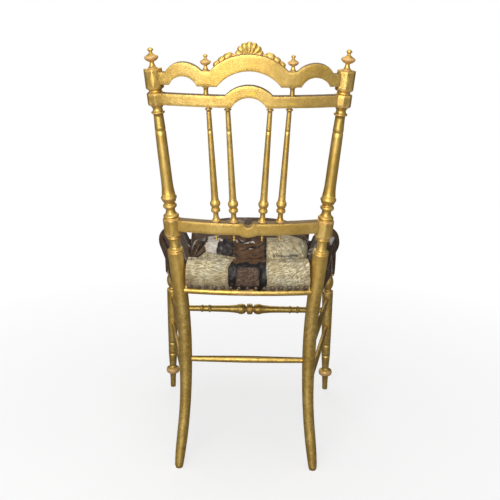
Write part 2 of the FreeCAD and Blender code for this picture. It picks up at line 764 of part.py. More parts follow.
def beam(start, end, thickness, bottom, top, end_bottom=None):
    """Board on edge between two plan points; its lower edge may slope to another level at the end."""
    if end_bottom is None:
        end_bottom = bottom
    along = end - start
    points = [Vector(0, 0, bottom), Vector(along.Length, 0, end_bottom),
              Vector(along.Length, 0, top), Vector(0, 0, top)]
    board = Part.Face(Part.makePolygon(points + points[:1])).extrude(deep * thickness)
    board.translate(deep * -thickness / 2)
    board.rotate(origin, up, math.degrees(math.atan2(along.y, along.x)))
    board.translate(Vector(start.x, start.y, 0))
    return board


def side_rail_line(side):
    return Vector(side * front_leg_x, front_leg_y, 0), Vector(side * rear_joint_x, 0, 0)


def side_board(side, grow, top=side_rail_top):
    """Side rail before its ends are fitted: deep in front, shallow at the rear post."""
    return beam(*side_rail_line(side), rail_thickness + 2 * grow, front_rail_bottom - grow, top + grow,
                web_level - grow)


def tongues(line, bottoms, top, grow=0):
    """Tongues at both ends of a rail, drawn along its plan line."""
    start, end = line
    along = (end - start).normalize()
    made = []
    for place, inward, bottom in ((start, along, bottoms[0]), (end, along * -1, bottoms[1])):
        tip = place + inward * (tongue_stop - grow)
        root = place + inward * (tongue_length + head_width)
        made.append(beam(tip, root, tongue_width + 2 * grow, bottom + tongue_shoulder - grow,
                         top - tongue_shoulder + grow))
    return made


def turned_about_bow(face):
    """Sweep a section, drawn at the middle of the rear rail, along the rail's bow."""
    face.translate(deep * rear_rail_bow)
    face.rotate(rear_pivot, up, -rear_half_turn)
    return face.revolve(rear_pivot, up, 2 * rear_half_turn)


def rear_board(grow=0):
    """Bowed rail between the posts with a half-round nosing along its lower edge."""
    half = rail_thickness / 2 + grow
    back_top = Vector(0, half, rear_rail_top + grow)
    front_top = Vector(0, -half, rear_rail_top + grow)
    front_low = Vector(0, -half, rear_rail_bottom)
    back_low = Vector(0, half, rear_rail_bottom)
    nose = Vector(0, half + nosing_depth, rear_rail_bottom + nosing_height / 2)
    step = Vector(0, half, rear_rail_bottom + nosing_height)
    return turned_about_bow(outline([[back_low, nose, step], [step, back_top], [back_top, front_top],
                                     [front_top, front_low], [front_low, back_low]]))


front_line = (Vector(-front_leg_x, front_leg_y, 0), Vector(front_leg_x, front_leg_y, 0))
rear_line = (Vector(-rear_joint_x, 0, 0), Vector(rear_joint_x, 0, 0))
right_line = side_rail_line(-1)
front_tongues = (front_line, (front_rail_bottom, front_rail_bottom), web_level)
rear_tongues = (rear_line, (rear_rail_bottom, rear_rail_bottom), rear_rail_top)
right_tongues = (right_line, (front_rail_bottom, web_level), side_rail_top)
both_posts = [post_room(side, post_room_radius) for side in (-1, 1)]
both_heads = [head_block(side, head_bottom, joint_clearance) for side in (-1, 1)]

front_board = beam(*front_line, rail_thickness, front_rail_bottom, web_level)
front_rail = one(front_board.cut(both_heads)).multiFuse(tongues(*front_tongues))
rear_rail = one(rear_board().cut(both_posts)).multiFuse(tongues(*rear_tongues))
right_rail = one(side_board(-1, 0).cut(both_posts + both_heads)).multiFuse(tongues(*right_tongues))
right_leg = right_leg.cut(tongues(*right_tongues, joint_clearance) + tongues(*front_tongues, joint_clearance))
right_post = right_post.cut(tongues(*right_tongues, joint_clearance) + tongues(*rear_tongues, joint_clearance))

# Webbing: bands from rear to front, and cross bands under them, let into grooves in the side rails.
band_width = 50.0
band_pitch = 67.5
long_bands = 3
cross_bands = 4
cross_pitch = 80.0
first_cross_y = -59.0
band_lap = 6.0


def long_webbing(grow=0):
    bands = []
    rear_y = rail_thickness / 2 - band_lap / 2 + grow
    front_y = front_leg_y - rail_thickness / 2 + band_lap / 2 - grow
    for index in range(long_bands):
        x = (index - (long_bands - 1) / 2) * band_pitch
        corner = Vector(x - band_width / 2 - grow, front_y, web_level - grow)
        bands.append(Part.makeBox(band_width + 2 * grow, rear_y - front_y, band_thickness + 2 * grow, corner))
    return bands


def cross_webbing(grow=0):
    """Cross bands with ends cut along the side rails, and the grooves that they need."""
    front, rear = side_rail_line(1)
    inset = rail_thickness / 2 - band_lap - grow
    front_x = front.x - inset
    rear_x = rear.x - inset
    bands = []
    for index in range(cross_bands):
        middle_y = first_cross_y - index * cross_pitch
        level = web_level - band_thickness - grow
        ends = [middle_y - band_width / 2 - grow, middle_y + band_width / 2 + grow]
        low_x, high_x = [rear_x + (front_x - rear_x) * y / front_leg_y for y in ends]
        plan = [Vector(-low_x, ends[0], level), Vector(low_x, ends[0], level),
                Vector(high_x, ends[1], level), Vector(-high_x, ends[1], level)]
        bands.append(Part.Face(Part.makePolygon(plan + plan[:1])).extrude(up * (band_thickness + 2 * grow)))
    return bands


save(Part.makeCompound(long_webbing() + cross_webbing()), "webbing")
right_rail = right_rail.cut(cross_webbing(joint_clearance))

# Stretchers: one turned rod in front, one plain rod behind, two plain rods on each side.
front_stretcher_level = 225.0
rear_stretcher_level = 241.0
side_stretcher_levels = {"upper": 257.0, "lower": 182.0}
rear_leg_places = {"rear": (129.9, -6.9), "upper": (130.2, -6.6), "lower": (130.0, -4.3)}
stretcher_peg_radius = 4.2
stretcher_peg_length = 8.0
front_leg_reach = 12.0
rear_leg_reach = 12.6
front_stretcher_radius = 14.4
rear_stretcher_radius = 7.3
side_stretcher_radius = 6.4
half_stretcher_shares = [
    (0, 1, 0), (0.035, 0.94, 0.01), (0.042, 0.55, 0), (0.055, 0.55, 0), (0.062, 0.76, 0), (0.120, 0.96, 0.05),
    (0.165, 0.80, 0.03), (0.30, 0.62, -0.02), (0.535, 0.57, 0), (0.540, 0.65, 0), (0.560, 0.65, 0.04),
    (0.565, 0.57, 0), (0.640, 0.56, 0), (0.645, 0.64, 0), (0.665, 0.64, 0.04), (0.670, 0.54, 0), (1, 0.51, 0)]
plain_shares = [(0, 0.80, 0), (0.5, 1, 0.02), (1, 0.80, 0.02)]


def stretcher(start, end, radius, shares, start_reach, end_reach):
    """Rod between two leg axes with a peg at each end, and the room of its pegs."""
    along = (end - start).normalize()
    first = start + along * start_reach
    last = end - along * end_reach
    body = stood(lathe((last - first).Length, radius, shares), first, along)
    pegs = rod(first - along * stretcher_peg_length, last + along * stretcher_peg_length, stretcher_peg_radius)
    reach = stretcher_peg_length + joint_clearance
    room = rod(first - along * reach, last + along * reach, stretcher_peg_radius + joint_clearance)
    return body.fuse(pegs), room


def both_halves(shares):
    """Rows of a whole rod from the rows of one half, measured from its middle."""
    low = []
    for index in range(len(shares) - 1, 0, -1):
        distance, radius, swell = shares[index]
        outer_swell = shares[index + 1][2] if index + 1 < len(shares) else 0
        low.append((1 / 2 - distance / 2, radius, outer_swell))
    low.append((1 / 2, shares[0][1], shares[1][2]))
    high = [(1 / 2 + distance / 2, radius, swell) for distance, radius, swell in shares[1:]]
    return low + high


front_piece, front_room = stretcher(
    leg_axis(-1, front_stretcher_level), leg_axis(1, front_stretcher_level), front_stretcher_radius,
    both_halves(half_stretcher_shares), front_leg_reach, front_leg_reach)
plain_x, plain_y = rear_leg_places["rear"]
rear_piece, rear_room = stretcher(
    Vector(-plain_x, plain_y, rear_stretcher_level), Vector(plain_x, plain_y, rear_stretcher_level),
    rear_stretcher_radius, plain_shares, rear_leg_reach, rear_leg_reach)
right_leg = right_leg.cut(front_room)
right_post = right_post.cut(rear_room)
side_pieces = {}
for place, level in side_stretcher_levels.items():
    leg_x, leg_y = rear_leg_places[place]
    side_pieces[place], room = stretcher(
        leg_axis(-1, level), Vector(-leg_x, leg_y, level), side_stretcher_radius, plain_shares,
        front_leg_reach, rear_leg_reach)
    right_leg = right_leg.cut(room)
    right_post = right_post.cut(room)
for place, piece in side_pieces.items():
    save_pair(one(piece.cut([right_leg, right_post])), "side_stretcher_" + place)
save_pair(right_post, "rear_post")
save(one(front_piece.cut([right_leg, mirrored(right_leg)])), "front_stretcher")
save(one(rear_piece.cut([right_post, mirrored(right_post)])), "rear_stretcher")
save(crest_rail, "crest_rail")
save(mid_rail, "mid_rail")
save(lower_rail, "lower_rail")
save(carving(), "crest_carving")

# Domed middle of the seat, higher behind than in front, with a furrow along each side roll.
dome_front_half = 152.0
dome_rear_half = 119.0
dome_front_y = -362.0
dome_rear_y = 4.0
dome_corner = 46.0
dome_corner_shrink_share = 0.2
dome_least_corner = 15.5
dome_slope = 0.085
dome_base_rise = 61.2
dome_rise = 56.0
dome_crown_radius = 361.0
dome_shares = [
    (-1.05, 0), (0.05, 0), (0.25, 0.03), (0.45, 0.09), (0.62, 0.18), (0.76, 0.30), (0.87, 0.46),
    (0.95, 0.66), (1, 0.95)]
dome_inset = 62.0
stuffing_wall = 14.0

rear_wall_bulge = 14.0
rear_wall_belly_share = 0.45
slab_thickness = 8.0
apron_round = 6.0


def rounded_plan(front_half, rear_half, front_y, rear_y, corner, level, slope):
    """Four-sided plan with round corners, drawn on a plane that falls towards the front."""
    corners = [Vector(-front_half, front_y, 0), Vector(front_half, front_y, 0),
               Vector(rear_half, rear_y, 0), Vector(-rear_half, rear_y, 0)]
    ends = []
    for index in range(4):
        here = corners[index]
        before = (corners[index - 1] - here).normalize()
        after = (corners[(index + 1) % 4] - here).normalize()
        half_angle = before.getAngle(after) / 2
        reach = corner / math.tan(half_angle)
        inward = (before + after).normalize()
        centre = here + inward * corner / math.sin(half_angle)
        ends.append((here + before * reach, centre - inward * corner, here + after * reach))

    def tilted(point):
        return Vector(point.x, point.y, level + slope * point.y)

    edges = []
    for index in range(4):
        first, middle, last = [tilted(point) for point in ends[index]]
        edges.append(Part.Arc(first, middle, last).toShape())
        edges.append(Part.makeLine(last, tilted(ends[(index + 1) % 4][0])))
    return Part.Wire(edges)


def dome_crown(shrink):
    """Round bar whose upper side rounds the dome from side to side, falling to the front with it."""
    fall = Vector(0, 1, dome_slope)
    crown = Vector(0, 0, web_level + dome_base_rise + dome_rise - shrink - dome_crown_radius)
    front = crown + fall * (dome_front_y - dome_crown_radius)
    return Part.makeCylinder(dome_crown_radius, fall.Length * 2 * -front.y, front, fall)


def dome(shrink):
    """Domed middle of the seat, drawn smaller by an amount all round for the stuffing inside."""
    wires = []
    for rise_share, inset_share in dome_shares:
        inset = dome_inset * inset_share + shrink
        level = web_level + dome_base_rise + dome_rise * rise_share - (shrink if rise_share > 0 else 0)
        corner = max(dome_corner - inset * dome_corner_shrink_share, dome_least_corner)
        wires.append(rounded_plan(
            dome_front_half - inset, dome_rear_half - inset, dome_front_y + inset, dome_rear_y - inset,
            corner, level, dome_slope))
    return Part.makeLoft(wires, True, True).common(dome_crown(shrink))


def rear_wall_arc():
    """Bulging outer line of the padded wall behind the seat, drawn at the middle of the rear rail."""
    bottom = rear_rail_bottom + nosing_height + soft_clearance
    belly_level = bottom + rear_wall_height * rear_wall_belly_share
    low = Vector(0, rail_thickness / 2 + hide_thickness, bottom)
    belly = Vector(0, rail_thickness / 2 + rear_wall_bulge, belly_level)
    high = Vector(0, rail_thickness / 4, bottom + rear_wall_height)
    return [low, belly, high]


def rear_wall():
    """Upright padded wall between the posts, bowed like the rail that it is nailed to."""
    low, belly, high = rear_wall_arc()
    inner_high = Vector(0, -side_roll_rear_radius, high.z)
    inner_low = Vector(0, -side_roll_rear_radius, low.z)
    return turned_about_bow(outline([[low, belly, high], [high, inner_high], [inner_high, inner_low],
                                     [inner_low, low]]))


def side_roll():
    rear = on_side(-1, side_roll_rear)
    front = on_side(-1, side_roll_front)
    taper = Part.makeCone(side_roll_rear_radius, side_roll_front_radius, (front - rear).Length, rear, front - rear)
    return taper.fuse(Part.makeSphere(side_roll_front_radius, front))


def side_skirt(side):
    """Hide over the outer face of a side rail, up into the roll."""
    return beam(*side_rail_line(side), rail_thickness + 2 * hide_thickness, front_rail_bottom,
                (side_roll_rear.z + side_roll_front.z) / 2, web_level)


def front_apron():
    """Hide over the front rail and the square leg heads, down to the turned balls."""
    half = front_leg_x + head_width / 2 + hide_thickness
    depth = head_width + 2 * hide_thickness
    corner = Vector(-half, front_leg_y - depth / 2, head_bottom)
    apron = Part.makeBox(2 * half, depth, web_level + slab_thickness - head_bottom, corner)
    raised = [edge for edge in apron.Edges if edge.CenterOfMass.z > head_bottom + apron_round]
    return apron.makeFillet(apron_round, raised)


def slab():
    """Thin even layer over the webbing that ties the rolls and the dome together."""
    bottom = web_level + band_thickness + soft_clearance
    plan = [Vector(-front_leg_x, front_leg_y, bottom), Vector(front_leg_x, front_leg_y, bottom),
            Vector(rear_joint_x, 0, bottom), Vector(-rear_joint_x, 0, bottom)]
    return Part.Face(Part.makePolygon(plan + plan[:1])).extrude(up * slab_thickness)


def under_frame():
    """Open space under the webbing, inside the middle lines of the rails."""
    plan = [Vector(-front_leg_x, front_leg_y, 0), Vector(front_leg_x, front_leg_y, 0),
            Vector(rear_joint_x, 0, 0), Vector(-rear_joint_x, 0, 0)]
    return Part.Face(Part.makePolygon(plan + plan[:1])).extrude(up * (web_level + band_thickness))


# Round-headed nails along the lower edge of the hide.
nail_head_radius = 3.3
nail_head_height = 1.9
nail_dome_shares = [(0, 1, 0), (1, 0.02, 0.35)]
nail_shank_radius = 0.8
nail_shank_length = 9.0
nail_edge = 6.5
rear_nails = 15
side_nails = 17
front_nails = 21
side_nail_ends_share = 0.08
nail_rest = 0.2


def rear_nail_rows():
    low, belly, high = rear_wall_arc()
    arc = Part.Arc(low, belly, high).toShape().Curve
    level = low.z + nail_edge
    depth = arc.Center.y + math.sqrt(arc.Radius ** 2 - (level - arc.Center.z) ** 2)
    normal = (Vector(0, depth, level) - arc.Center).normalize()
    reach = rear_joint_x - post_room_radius - nail_edge
    rows = []
    for index in range(rear_nails):
        turn = math.asin(reach * (2 * index / (rear_nails - 1) - 1) / rear_bow_radius)
        out = Vector(normal.y * math.sin(turn), normal.y * math.cos(turn), normal.z)
        ring = rear_bow_radius + depth
        place = rear_pivot + Vector(ring * math.sin(turn), ring * math.cos(turn), level)
        rows.append((place + out * nail_rest, out))
    return rows


def side_nail_rows(side):
    front, rear = side_rail_line(side)
    along = (rear - front).normalize()
    out = Vector(side * along.y, side * -along.x, 0)
    rows = []
    for index in range(side_nails):
        share = side_nail_ends_share + (1 - 2 * side_nail_ends_share) * index / (side_nails - 1)
        level = front_rail_bottom + (web_level - front_rail_bottom) * share + nail_edge
        place = front + (rear - front) * share + out * (rail_thickness / 2 + hide_thickness + nail_rest)
        rows.append((place + up * level, out))
    return rows


def front_nail_rows():
    half = front_leg_x - nail_edge
    y = front_leg_y - head_width / 2 - hide_thickness - nail_rest
    rows = []
    for index in range(front_nails):
        x = half * (2 * index / (front_nails - 1) - 1)
        rows.append((Vector(x, y, head_bottom + nail_edge), deep * -1))
    return rows


def nail():
    shank = rod(up * -nail_shank_length, up * nail_head_height / 2, nail_shank_radius)
    return lathe(nail_head_height, nail_head_radius, nail_dome_shares).fuse(shank)


def nail_rooms(rows, grow):
    reach = nail_shank_length + cut_overrun
    return [rod(place - out * reach, place, nail_shank_radius + grow) for place, out in rows]


all_nails = rear_nail_rows() + side_nail_rows(-1) + side_nail_rows(1) + front_nail_rows()
save(Part.makeCompound([stood(nail(), place, out) for place, out in all_nails]), "cover_nails")
save(front_rail.cut(nail_rooms(front_nail_rows(), joint_clearance)), "seat_rail_front")
save(rear_rail.cut(nail_rooms(rear_nail_rows(), joint_clearance)), "seat_rail_rear")
save_pair(right_rail.cut(nail_rooms(side_nail_rows(-1), joint_clearance)), "seat_rail")
save_pair(right_leg.cut(nail_rooms(front_nail_rows(), joint_clearance)), "front_leg")

stuffing_bottom = web_level + band_thickness + soft_clearance
under_corner = Vector(-2 * front_leg_x, 2 * front_leg_y, 0)
under = Part.makeBox(4 * front_leg_x, -4 * front_leg_y, stuffing_bottom, under_corner)
save(one(dome(stuffing_wall).cut(under)), "seat_stuffing")

form = dome(0).cut(under)
for piece in (rear_wall(), front_apron(), slab(), side_roll(), side_skirt(-1)):
    form = form.fuse(piece)
for piece in (side_roll(), side_skirt(-1)):
    form = form.fuse(mirrored(piece))
rooms = [dome(stuffing_wall - soft_clearance), rear_board(soft_clearance), under_frame()]
rooms += long_webbing(soft_clearance) + cross_webbing(soft_clearance)
rooms.append(beam(*front_line, rail_thickness + 2 * soft_clearance, 0, web_level + soft_clearance))
for side in (-1, 1):
    rooms.append(side_board(side, soft_clearance))
    rooms.append(head_block(side, head_bottom - cut_overrun, soft_clearance))
    rooms.append(post_room(side, hide_room_radius))
save(largest(form.cut(rooms).cut(nail_rooms(all_nails, soft_clearance))), "seat_cover")
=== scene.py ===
import bpy
import bmesh
import math
import numpy as np
from mathutils import Matrix, Vector
from mathutils.kdtree import KDTree


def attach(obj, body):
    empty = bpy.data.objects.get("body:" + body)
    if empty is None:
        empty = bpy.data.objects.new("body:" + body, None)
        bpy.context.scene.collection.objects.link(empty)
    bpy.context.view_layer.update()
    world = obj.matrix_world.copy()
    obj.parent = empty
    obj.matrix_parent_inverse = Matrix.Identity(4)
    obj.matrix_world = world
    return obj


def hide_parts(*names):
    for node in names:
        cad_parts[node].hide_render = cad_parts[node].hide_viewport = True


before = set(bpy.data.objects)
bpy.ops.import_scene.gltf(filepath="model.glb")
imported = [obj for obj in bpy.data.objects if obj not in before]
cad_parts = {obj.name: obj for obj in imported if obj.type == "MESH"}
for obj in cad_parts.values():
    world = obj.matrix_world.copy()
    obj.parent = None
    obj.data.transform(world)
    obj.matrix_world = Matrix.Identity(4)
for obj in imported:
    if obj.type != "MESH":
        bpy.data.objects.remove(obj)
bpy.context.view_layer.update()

# The stand: a white floor that runs into a white surround. The camera looks a little downwards at
# the chair's back, with one broad soft lamp behind it and weaker ones on the other sides and above.
camera_place = (-0.0207, 1.4133, 0.8290)
camera_right = Vector((-0.9998113, -0.0162304, 0.0106743))
camera_up = Vector((0.0145564, -0.2620718, 0.9649386))
camera_forward = Vector((0.0128639, -0.9649119, -0.2622586))
camera_data = bpy.data.cameras.new("camera")
camera_data.lens = 47.52
camera_data.sensor_width = 36.0
camera = bpy.data.objects.new("camera", camera_data)
camera_turn = Matrix((camera_right, camera_up, -camera_forward)).transposed().to_4x4()
camera.matrix_world = Matrix.Translation(camera_place) @ camera_turn
bpy.context.scene.collection.objects.link(camera)
bpy.context.scene.camera = camera
bpy.context.scene.view_settings.view_transform = "Standard"


def add_lamp(name, place, aim, size, power):
    lamp = bpy.data.lights.new(name, "AREA")
    lamp.shape = "RECTANGLE"
    lamp.size, lamp.size_y = size
    lamp.energy = power
    holder = bpy.data.objects.new(name, lamp)
    holder.location = place
    holder.rotation_euler = (Vector(aim) - Vector(place)).to_track_quat("-Z", "Y").to_euler()
    bpy.context.scene.collection.objects.link(holder)


add_lamp("lamp_behind_camera", (0.50, 2.5, 1.15), (0, 0, 0.6), (1.7, 1.7), 52)
add_lamp("lamp_left", (2.3, 0.5, 1.3), (0, 0, 0.5), (0.5, 1.6), 4)
add_lamp("lamp_right", (-2.3, 0.5, 1.3), (0, 0, 0.5), (0.5, 1.6), 2)
add_lamp("lamp_front", (0.3, -2.4, 1.8), (0, 0, 0.5), (1.6, 1.2), 16)
add_lamp("lamp_above", (0.0, 0.1, 2.6), (0, 0, 0), (1.6, 1.6), 15)


def add_node(tree, kind, inputs=(), **settings):
    """A shader node with its settings and inputs; an input is a value or another node's output."""
    made = tree.nodes.new(kind)
    for key, value in settings.items():
        setattr(made, key, value)
    for key, value in dict(inputs).items():
        if isinstance(value, bpy.types.NodeSocket):
            tree.links.new(value, made.inputs[key])
        else:
            made.inputs[key].default_value = value
    return made


def math_of(tree, operation, first, second=0.0):
    return add_node(tree, "ShaderNodeMath", {0: first, 1: second}, operation=operation).outputs[0]


def times(tree, first, second):
    return math_of(tree, "MULTIPLY", first, second)


def vector_of(tree, operation, first, second=(0, 0, 0), result="Vector"):
    made = add_node(tree, "ShaderNodeVectorMath", {0: first, 1: second}, operation=operation)
    return made.outputs[result]


def ramp(tree, value, low, high, to_low=0.0, to_high=1.0):
    """A value that runs evenly between two ends while the given one runs from low to high."""
    made = add_node(tree, "ShaderNodeMapRange", {"Value": value, "From Min": low, "From Max": high,
                                                 "To Min": to_low, "To Max": to_high})
    return made.outputs["Result"]


def blend_colour(tree, share, first, second):
    made = add_node(tree, "ShaderNodeMix", {"Factor": share}, data_type="RGBA")
    for index, value in ((6, first), (7, second)):
        if isinstance(value, bpy.types.NodeSocket):
            tree.links.new(value, made.inputs[index])
        else:
            made.inputs[index].default_value = (*value, 1)
    return made.outputs[2]


def seen_straight(tree):
    """1 for rays from the camera, also through glass, and 0 for rays that only carry light."""
    ray = add_node(tree, "ShaderNodeLightPath").outputs
    return math_of(tree, "MAXIMUM", ray["Is Camera Ray"], ray["Is Transmission Ray"])


def new_finish(name):
    """An empty material, its node tree and the place of a point on the piece."""
    finish = bpy.data.materials.new(name)
    finish.use_nodes = True
    finish.node_tree.nodes.clear()
    return finish, finish.node_tree, add_node(finish.node_tree, "ShaderNodeTexCoord").outputs["Object"]


pure_white = (1, 1, 1, 1)
world = bpy.data.worlds.new("surround")
bpy.context.scene.world = world
world.use_nodes = True
sky = world.node_tree
sky.nodes.clear()
gaze = add_node(sky, "ShaderNodeTexCoord").outputs["Generated"]
toward_lamp = vector_of(sky, "DOT_PRODUCT", gaze, (0.10, 0.72, 0.68), "Value")
dim = ramp(sky, toward_lamp, -0.1, 0.9, 0.07, 0.55)
soft = add_node(sky, "ShaderNodeBackground", {"Color": pure_white, "Strength": dim})
bright = add_node(sky, "ShaderNodeBackground", {"Color": pure_white, "Strength": 1.0})
both = {0: seen_straight(sky), 1: soft.outputs[0], 2: bright.outputs[0]}
both = add_node(sky, "ShaderNodeMixShader", both)
add_node(sky, "ShaderNodeOutputWorld", {"Surface": both.outputs[0]})

floor_half = 30
corners = [(-floor_half, -floor_half, 0), (floor_half, -floor_half, 0), (floor_half, floor_half, 0),
           (-floor_half, floor_half, 0)]
floor_mesh = bpy.data.meshes.new("floor")
floor_mesh.from_pydata(corners, [], [(0, 1, 2, 3)])
floor = bpy.data.objects.new("floor", floor_mesh)
bpy.context.scene.collection.objects.link(floor)
pale, tree, place = new_finish("pale floor")
seen = seen_straight(tree)
fade = ramp(tree, vector_of(tree, "LENGTH", place, result="Value"), 0.45, 1.3, 0.66, 1.0)
matt_colour = blend_colour(tree, seen, (0.26, 0.25, 0.24), (0.9, 0.9, 0.9))
matt = add_node(tree, "ShaderNodeBsdfDiffuse", {"Color": matt_colour})
glow = add_node(tree, "ShaderNodeEmission", {"Color": pure_white, "Strength": 1.0})
both = {0: times(tree, seen, fade), 1: matt.outputs[0], 2: glow.outputs[0]}
both = add_node(tree, "ShaderNodeMixShader", both)
add_node(tree, "ShaderNodeOutputMaterial", {"Surface": both.outputs[0]})
floor_mesh.materials.append(pale)

# Rear posts: turned and bent beech with eight-sided blocks, brushed with bronze-gold paint over
# pinkish gesso, which shows again wherever a ring or an arris has been rubbed.
def noise_at(tree, scale, detail, rough=0.55, vector=None, distortion=0.0):
    made = add_node(tree, "ShaderNodeTexNoise", {"Scale": scale, "Detail": detail, "Roughness": rough,
                                                 "Distortion": distortion})
    if vector is not None:
        tree.links.new(vector, made.inputs["Vector"])
    return made.outputs["Fac"]


def moved(tree, place, scale=(1, 1, 1), location=(0, 0, 0)):
    """The place stretched and shifted, so that a pattern on it is drawn out or a second one differs."""
    settings = {"Vector": place, "Scale": scale, "Location": location}
    return add_node(tree, "ShaderNodeMapping", settings).outputs[0]


def mark(tree, name):
    """The value that the piece's points carry under a name."""
    return add_node(tree, "ShaderNodeAttribute", attribute_name=name).outputs["Fac"]


def close_finish(tree, colour, relief, strength, depth, others):
    """End a material: its colour, the relief that its bump follows, and the shader's other inputs."""
    bump = add_node(tree, "ShaderNodeBump", {"Strength": strength, "Distance": depth, "Height": relief})
    inputs = {"Base Color": colour, "Normal": bump.outputs[0], **others}
    shader = add_node(tree, "ShaderNodeBsdfPrincipled", inputs)
    add_node(tree, "ShaderNodeOutputMaterial", {"Surface": shader.outputs[0]})


def highlight_dab_at(tree, place, centre, reach):
    """Share of a painted highlight round a point, with a ragged edge."""
    away = vector_of(tree, "SUBTRACT", place, centre)
    away = vector_of(tree, "MULTIPLY", away, tuple(1 / value for value in reach))
    away = vector_of(tree, "LENGTH", away, result="Value")
    fray = ramp(tree, noise_at(tree, 330, 3, 0.6, place), 0.3, 0.7, -0.35, 0.35)
    ragged = math_of(tree, "ADD", away, fray)
    return ramp(tree, ragged, 1.0, 0.7)


gold_paint, tree, place = new_finish("worn gold paint")
proud = mark(tree, "proud")
sawn = mark(tree, "board")
cloudy = noise_at(tree, 14, 5, 0.6, place)
blotch = noise_at(tree, 42, 5, 0.65, moved(tree, place, (1, 1, 0.5), (0.3, 0.8, 0.1)))
mottle = noise_at(tree, 120, 5, 0.7, place)
speckle = noise_at(tree, 290, 4, 0.7, place)
strokes = noise_at(tree, 300, 3, 0.6, moved(tree, place, (1, 1, 0.25)))
gold = blend_colour(tree, ramp(tree, cloudy, 0.36, 0.66), (0.80, 0.525, 0.125), (0.95, 0.69, 0.235))
for pattern, low, high, share, stain in ((mottle, 0.40, 0.66, 0.42, (0.60, 0.36, 0.075)),
                                         (blotch, 0.52, 0.70, 0.45, (0.50, 0.30, 0.065)),
                                         (strokes, 0.48, 0.75, 0.28, (0.42, 0.25, 0.055)),
                                         (speckle, 0.62, 0.70, 0.85, (0.13, 0.075, 0.022))):
    gold = blend_colour(tree, ramp(tree, pattern, low, high, 0, share), gold, stain)
level = add_node(tree, "ShaderNodeSeparateXYZ", {0: place}).outputs["Z"]
legs = times(tree, ramp(tree, level, 0.44, 0.36),
             ramp(tree, math_of(tree, "ADD", speckle, mottle), 0.85, 1.15, 0.22, 0.66))
gold = blend_colour(tree, legs, gold, (0.31, 0.21, 0.060))
fresh_and_highlight = ramp(tree, mottle, 0.66, 0.70, 0, 0.35)
# Random spots of fresh paint, and painted highlights: bright yellow dabs at fixed places high on the back
# and along the rear posts.
for centre, reach in (((-0.1108, 0.2226, 0.8333), (0.0042, 0.006, 0.0030)),
                      ((-0.1327, 0.2181, 0.8348), (0.0036, 0.006, 0.0030)),
                      ((-0.0053, 0.2262, 0.7895), (0.0070, 0.006, 0.0026)),
                      ((-0.0750, 0.2184, 0.7728), (0.0120, 0.006, 0.0016)),
                      ((0.1600, 0.1560, 0.4560), (0.0026, 0.012, 0.0200)),
                      ((0.1530, 0.1490, 0.3200), (0.0040, 0.012, 0.0300)),
                      ((-0.1690, 0.1500, 0.4500), (0.0026, 0.012, 0.0300))):
    fresh_and_highlight = math_of(tree, "MAXIMUM", fresh_and_highlight, highlight_dab_at(tree, place, centre, reach))
gold = blend_colour(tree, times(tree, fresh_and_highlight, 0.85), gold, (1.0, 0.66, 0.060))
# Grooves and hollows are painted dark brown.
gold = blend_colour(tree, ramp(tree, proud, 0.28, 0.04, 0, 0.80), gold, (0.085, 0.048, 0.015))
rub = math_of(tree, "ADD", proud, ramp(tree, speckle, 0.35, 0.65, -0.10, 0.10))
rub = math_of(tree, "ADD", rub, ramp(tree, mottle, 0.35, 0.65, -0.16, 0.12))
rub = ramp(tree, rub, 0.68, 0.88)
gold = blend_colour(tree, times(tree, rub, 0.72), gold, (0.72, 0.43, 0.19))
facing = add_node(tree, "ShaderNodeNewGeometry").outputs["Normal"]
facing = add_node(tree, "ShaderNodeSeparateXYZ", {0: facing})
# Painted shade: upward faces of the boards go near black, standing for shade and a dark reflection; they
# are also rougher and less metallic.
painted_dark_top = times(tree, ramp(tree, facing.outputs["Z"], 0.55, 0.92), sawn)
gold = blend_colour(tree, times(tree, painted_dark_top, 0.90), gold, (0.070, 0.050, 0.032))
gold = blend_colour(tree, times(tree, sawn, ramp(tree, mottle, 0.35, 0.65, 0.14, 0.34)), gold,
                    (0.50, 0.315, 0.085))
gloss = ramp(tree, cloudy, 0.3, 0.7, 0.42, 0.52)
metal = 0.92
for wear, duller, less_metal in ((rub, 0.12, 0.60), (painted_dark_top, 0.30, 0.85)):
    gloss = math_of(tree, "ADD", gloss, times(tree, wear, duller))
    metal = math_of(tree, "SUBTRACT", metal, times(tree, wear, less_metal))
relief = math_of(tree, "ADD", times(tree, mottle, 0.9), times(tree, speckle, 0.8))
close_finish(tree, gold, relief, 0.40, 0.0006, {"Roughness": gloss, "Metallic": metal})


def smoothed(values, spread):
    """Running average that weighs near values most; the spread is in steps of the list."""
    reach = int(3 * spread)
    weights = np.exp(-0.5 * (np.arange(-reach, reach + 1) / spread) ** 2)
    padded = np.pad(values, reach, mode="edge")
    return np.convolve(padded, weights / weights.sum(), mode="valid")


level_step = 0.0005
ring_height = 0.0085
groove_depth = 0.018


def proud_of(place, foot, top, arris, plain_below):
    """How far each point stands out: 0.5 is level, 1 a proud ring or arris, 0 the bottom of a groove."""
    along = (top - foot) / np.linalg.norm(top - foot)
    height = (place - foot) @ along
    radius = np.linalg.norm(place - foot - np.outer(height, along), axis=1)
    turned = height > plain_below
    index = np.clip(((height - height[turned].min()) / level_step).astype(int), 0, None)
    widest = np.zeros(index.max() + 1)
    np.maximum.at(widest, index[turned], radius[turned])
    known = np.flatnonzero(widest > 0.0008)
    widest = np.interp(np.arange(len(widest)), known, widest[known])
    relief = np.where(turned, (smoothed(widest, 1.5) - smoothed(widest, 16))[index], 0)
    return np.clip(0.5 + relief / np.where(relief < 0, groove_depth, ring_height) + 0.15 * arris, 0, 1)


def places_of(mesh, what="co"):
    """The places of a mesh's points, or their normals, as rows of three."""
    place = np.empty(len(mesh.vertices) * 3)
    mesh.vertices.foreach_get(what, place)
    return place.reshape(-1, 3)


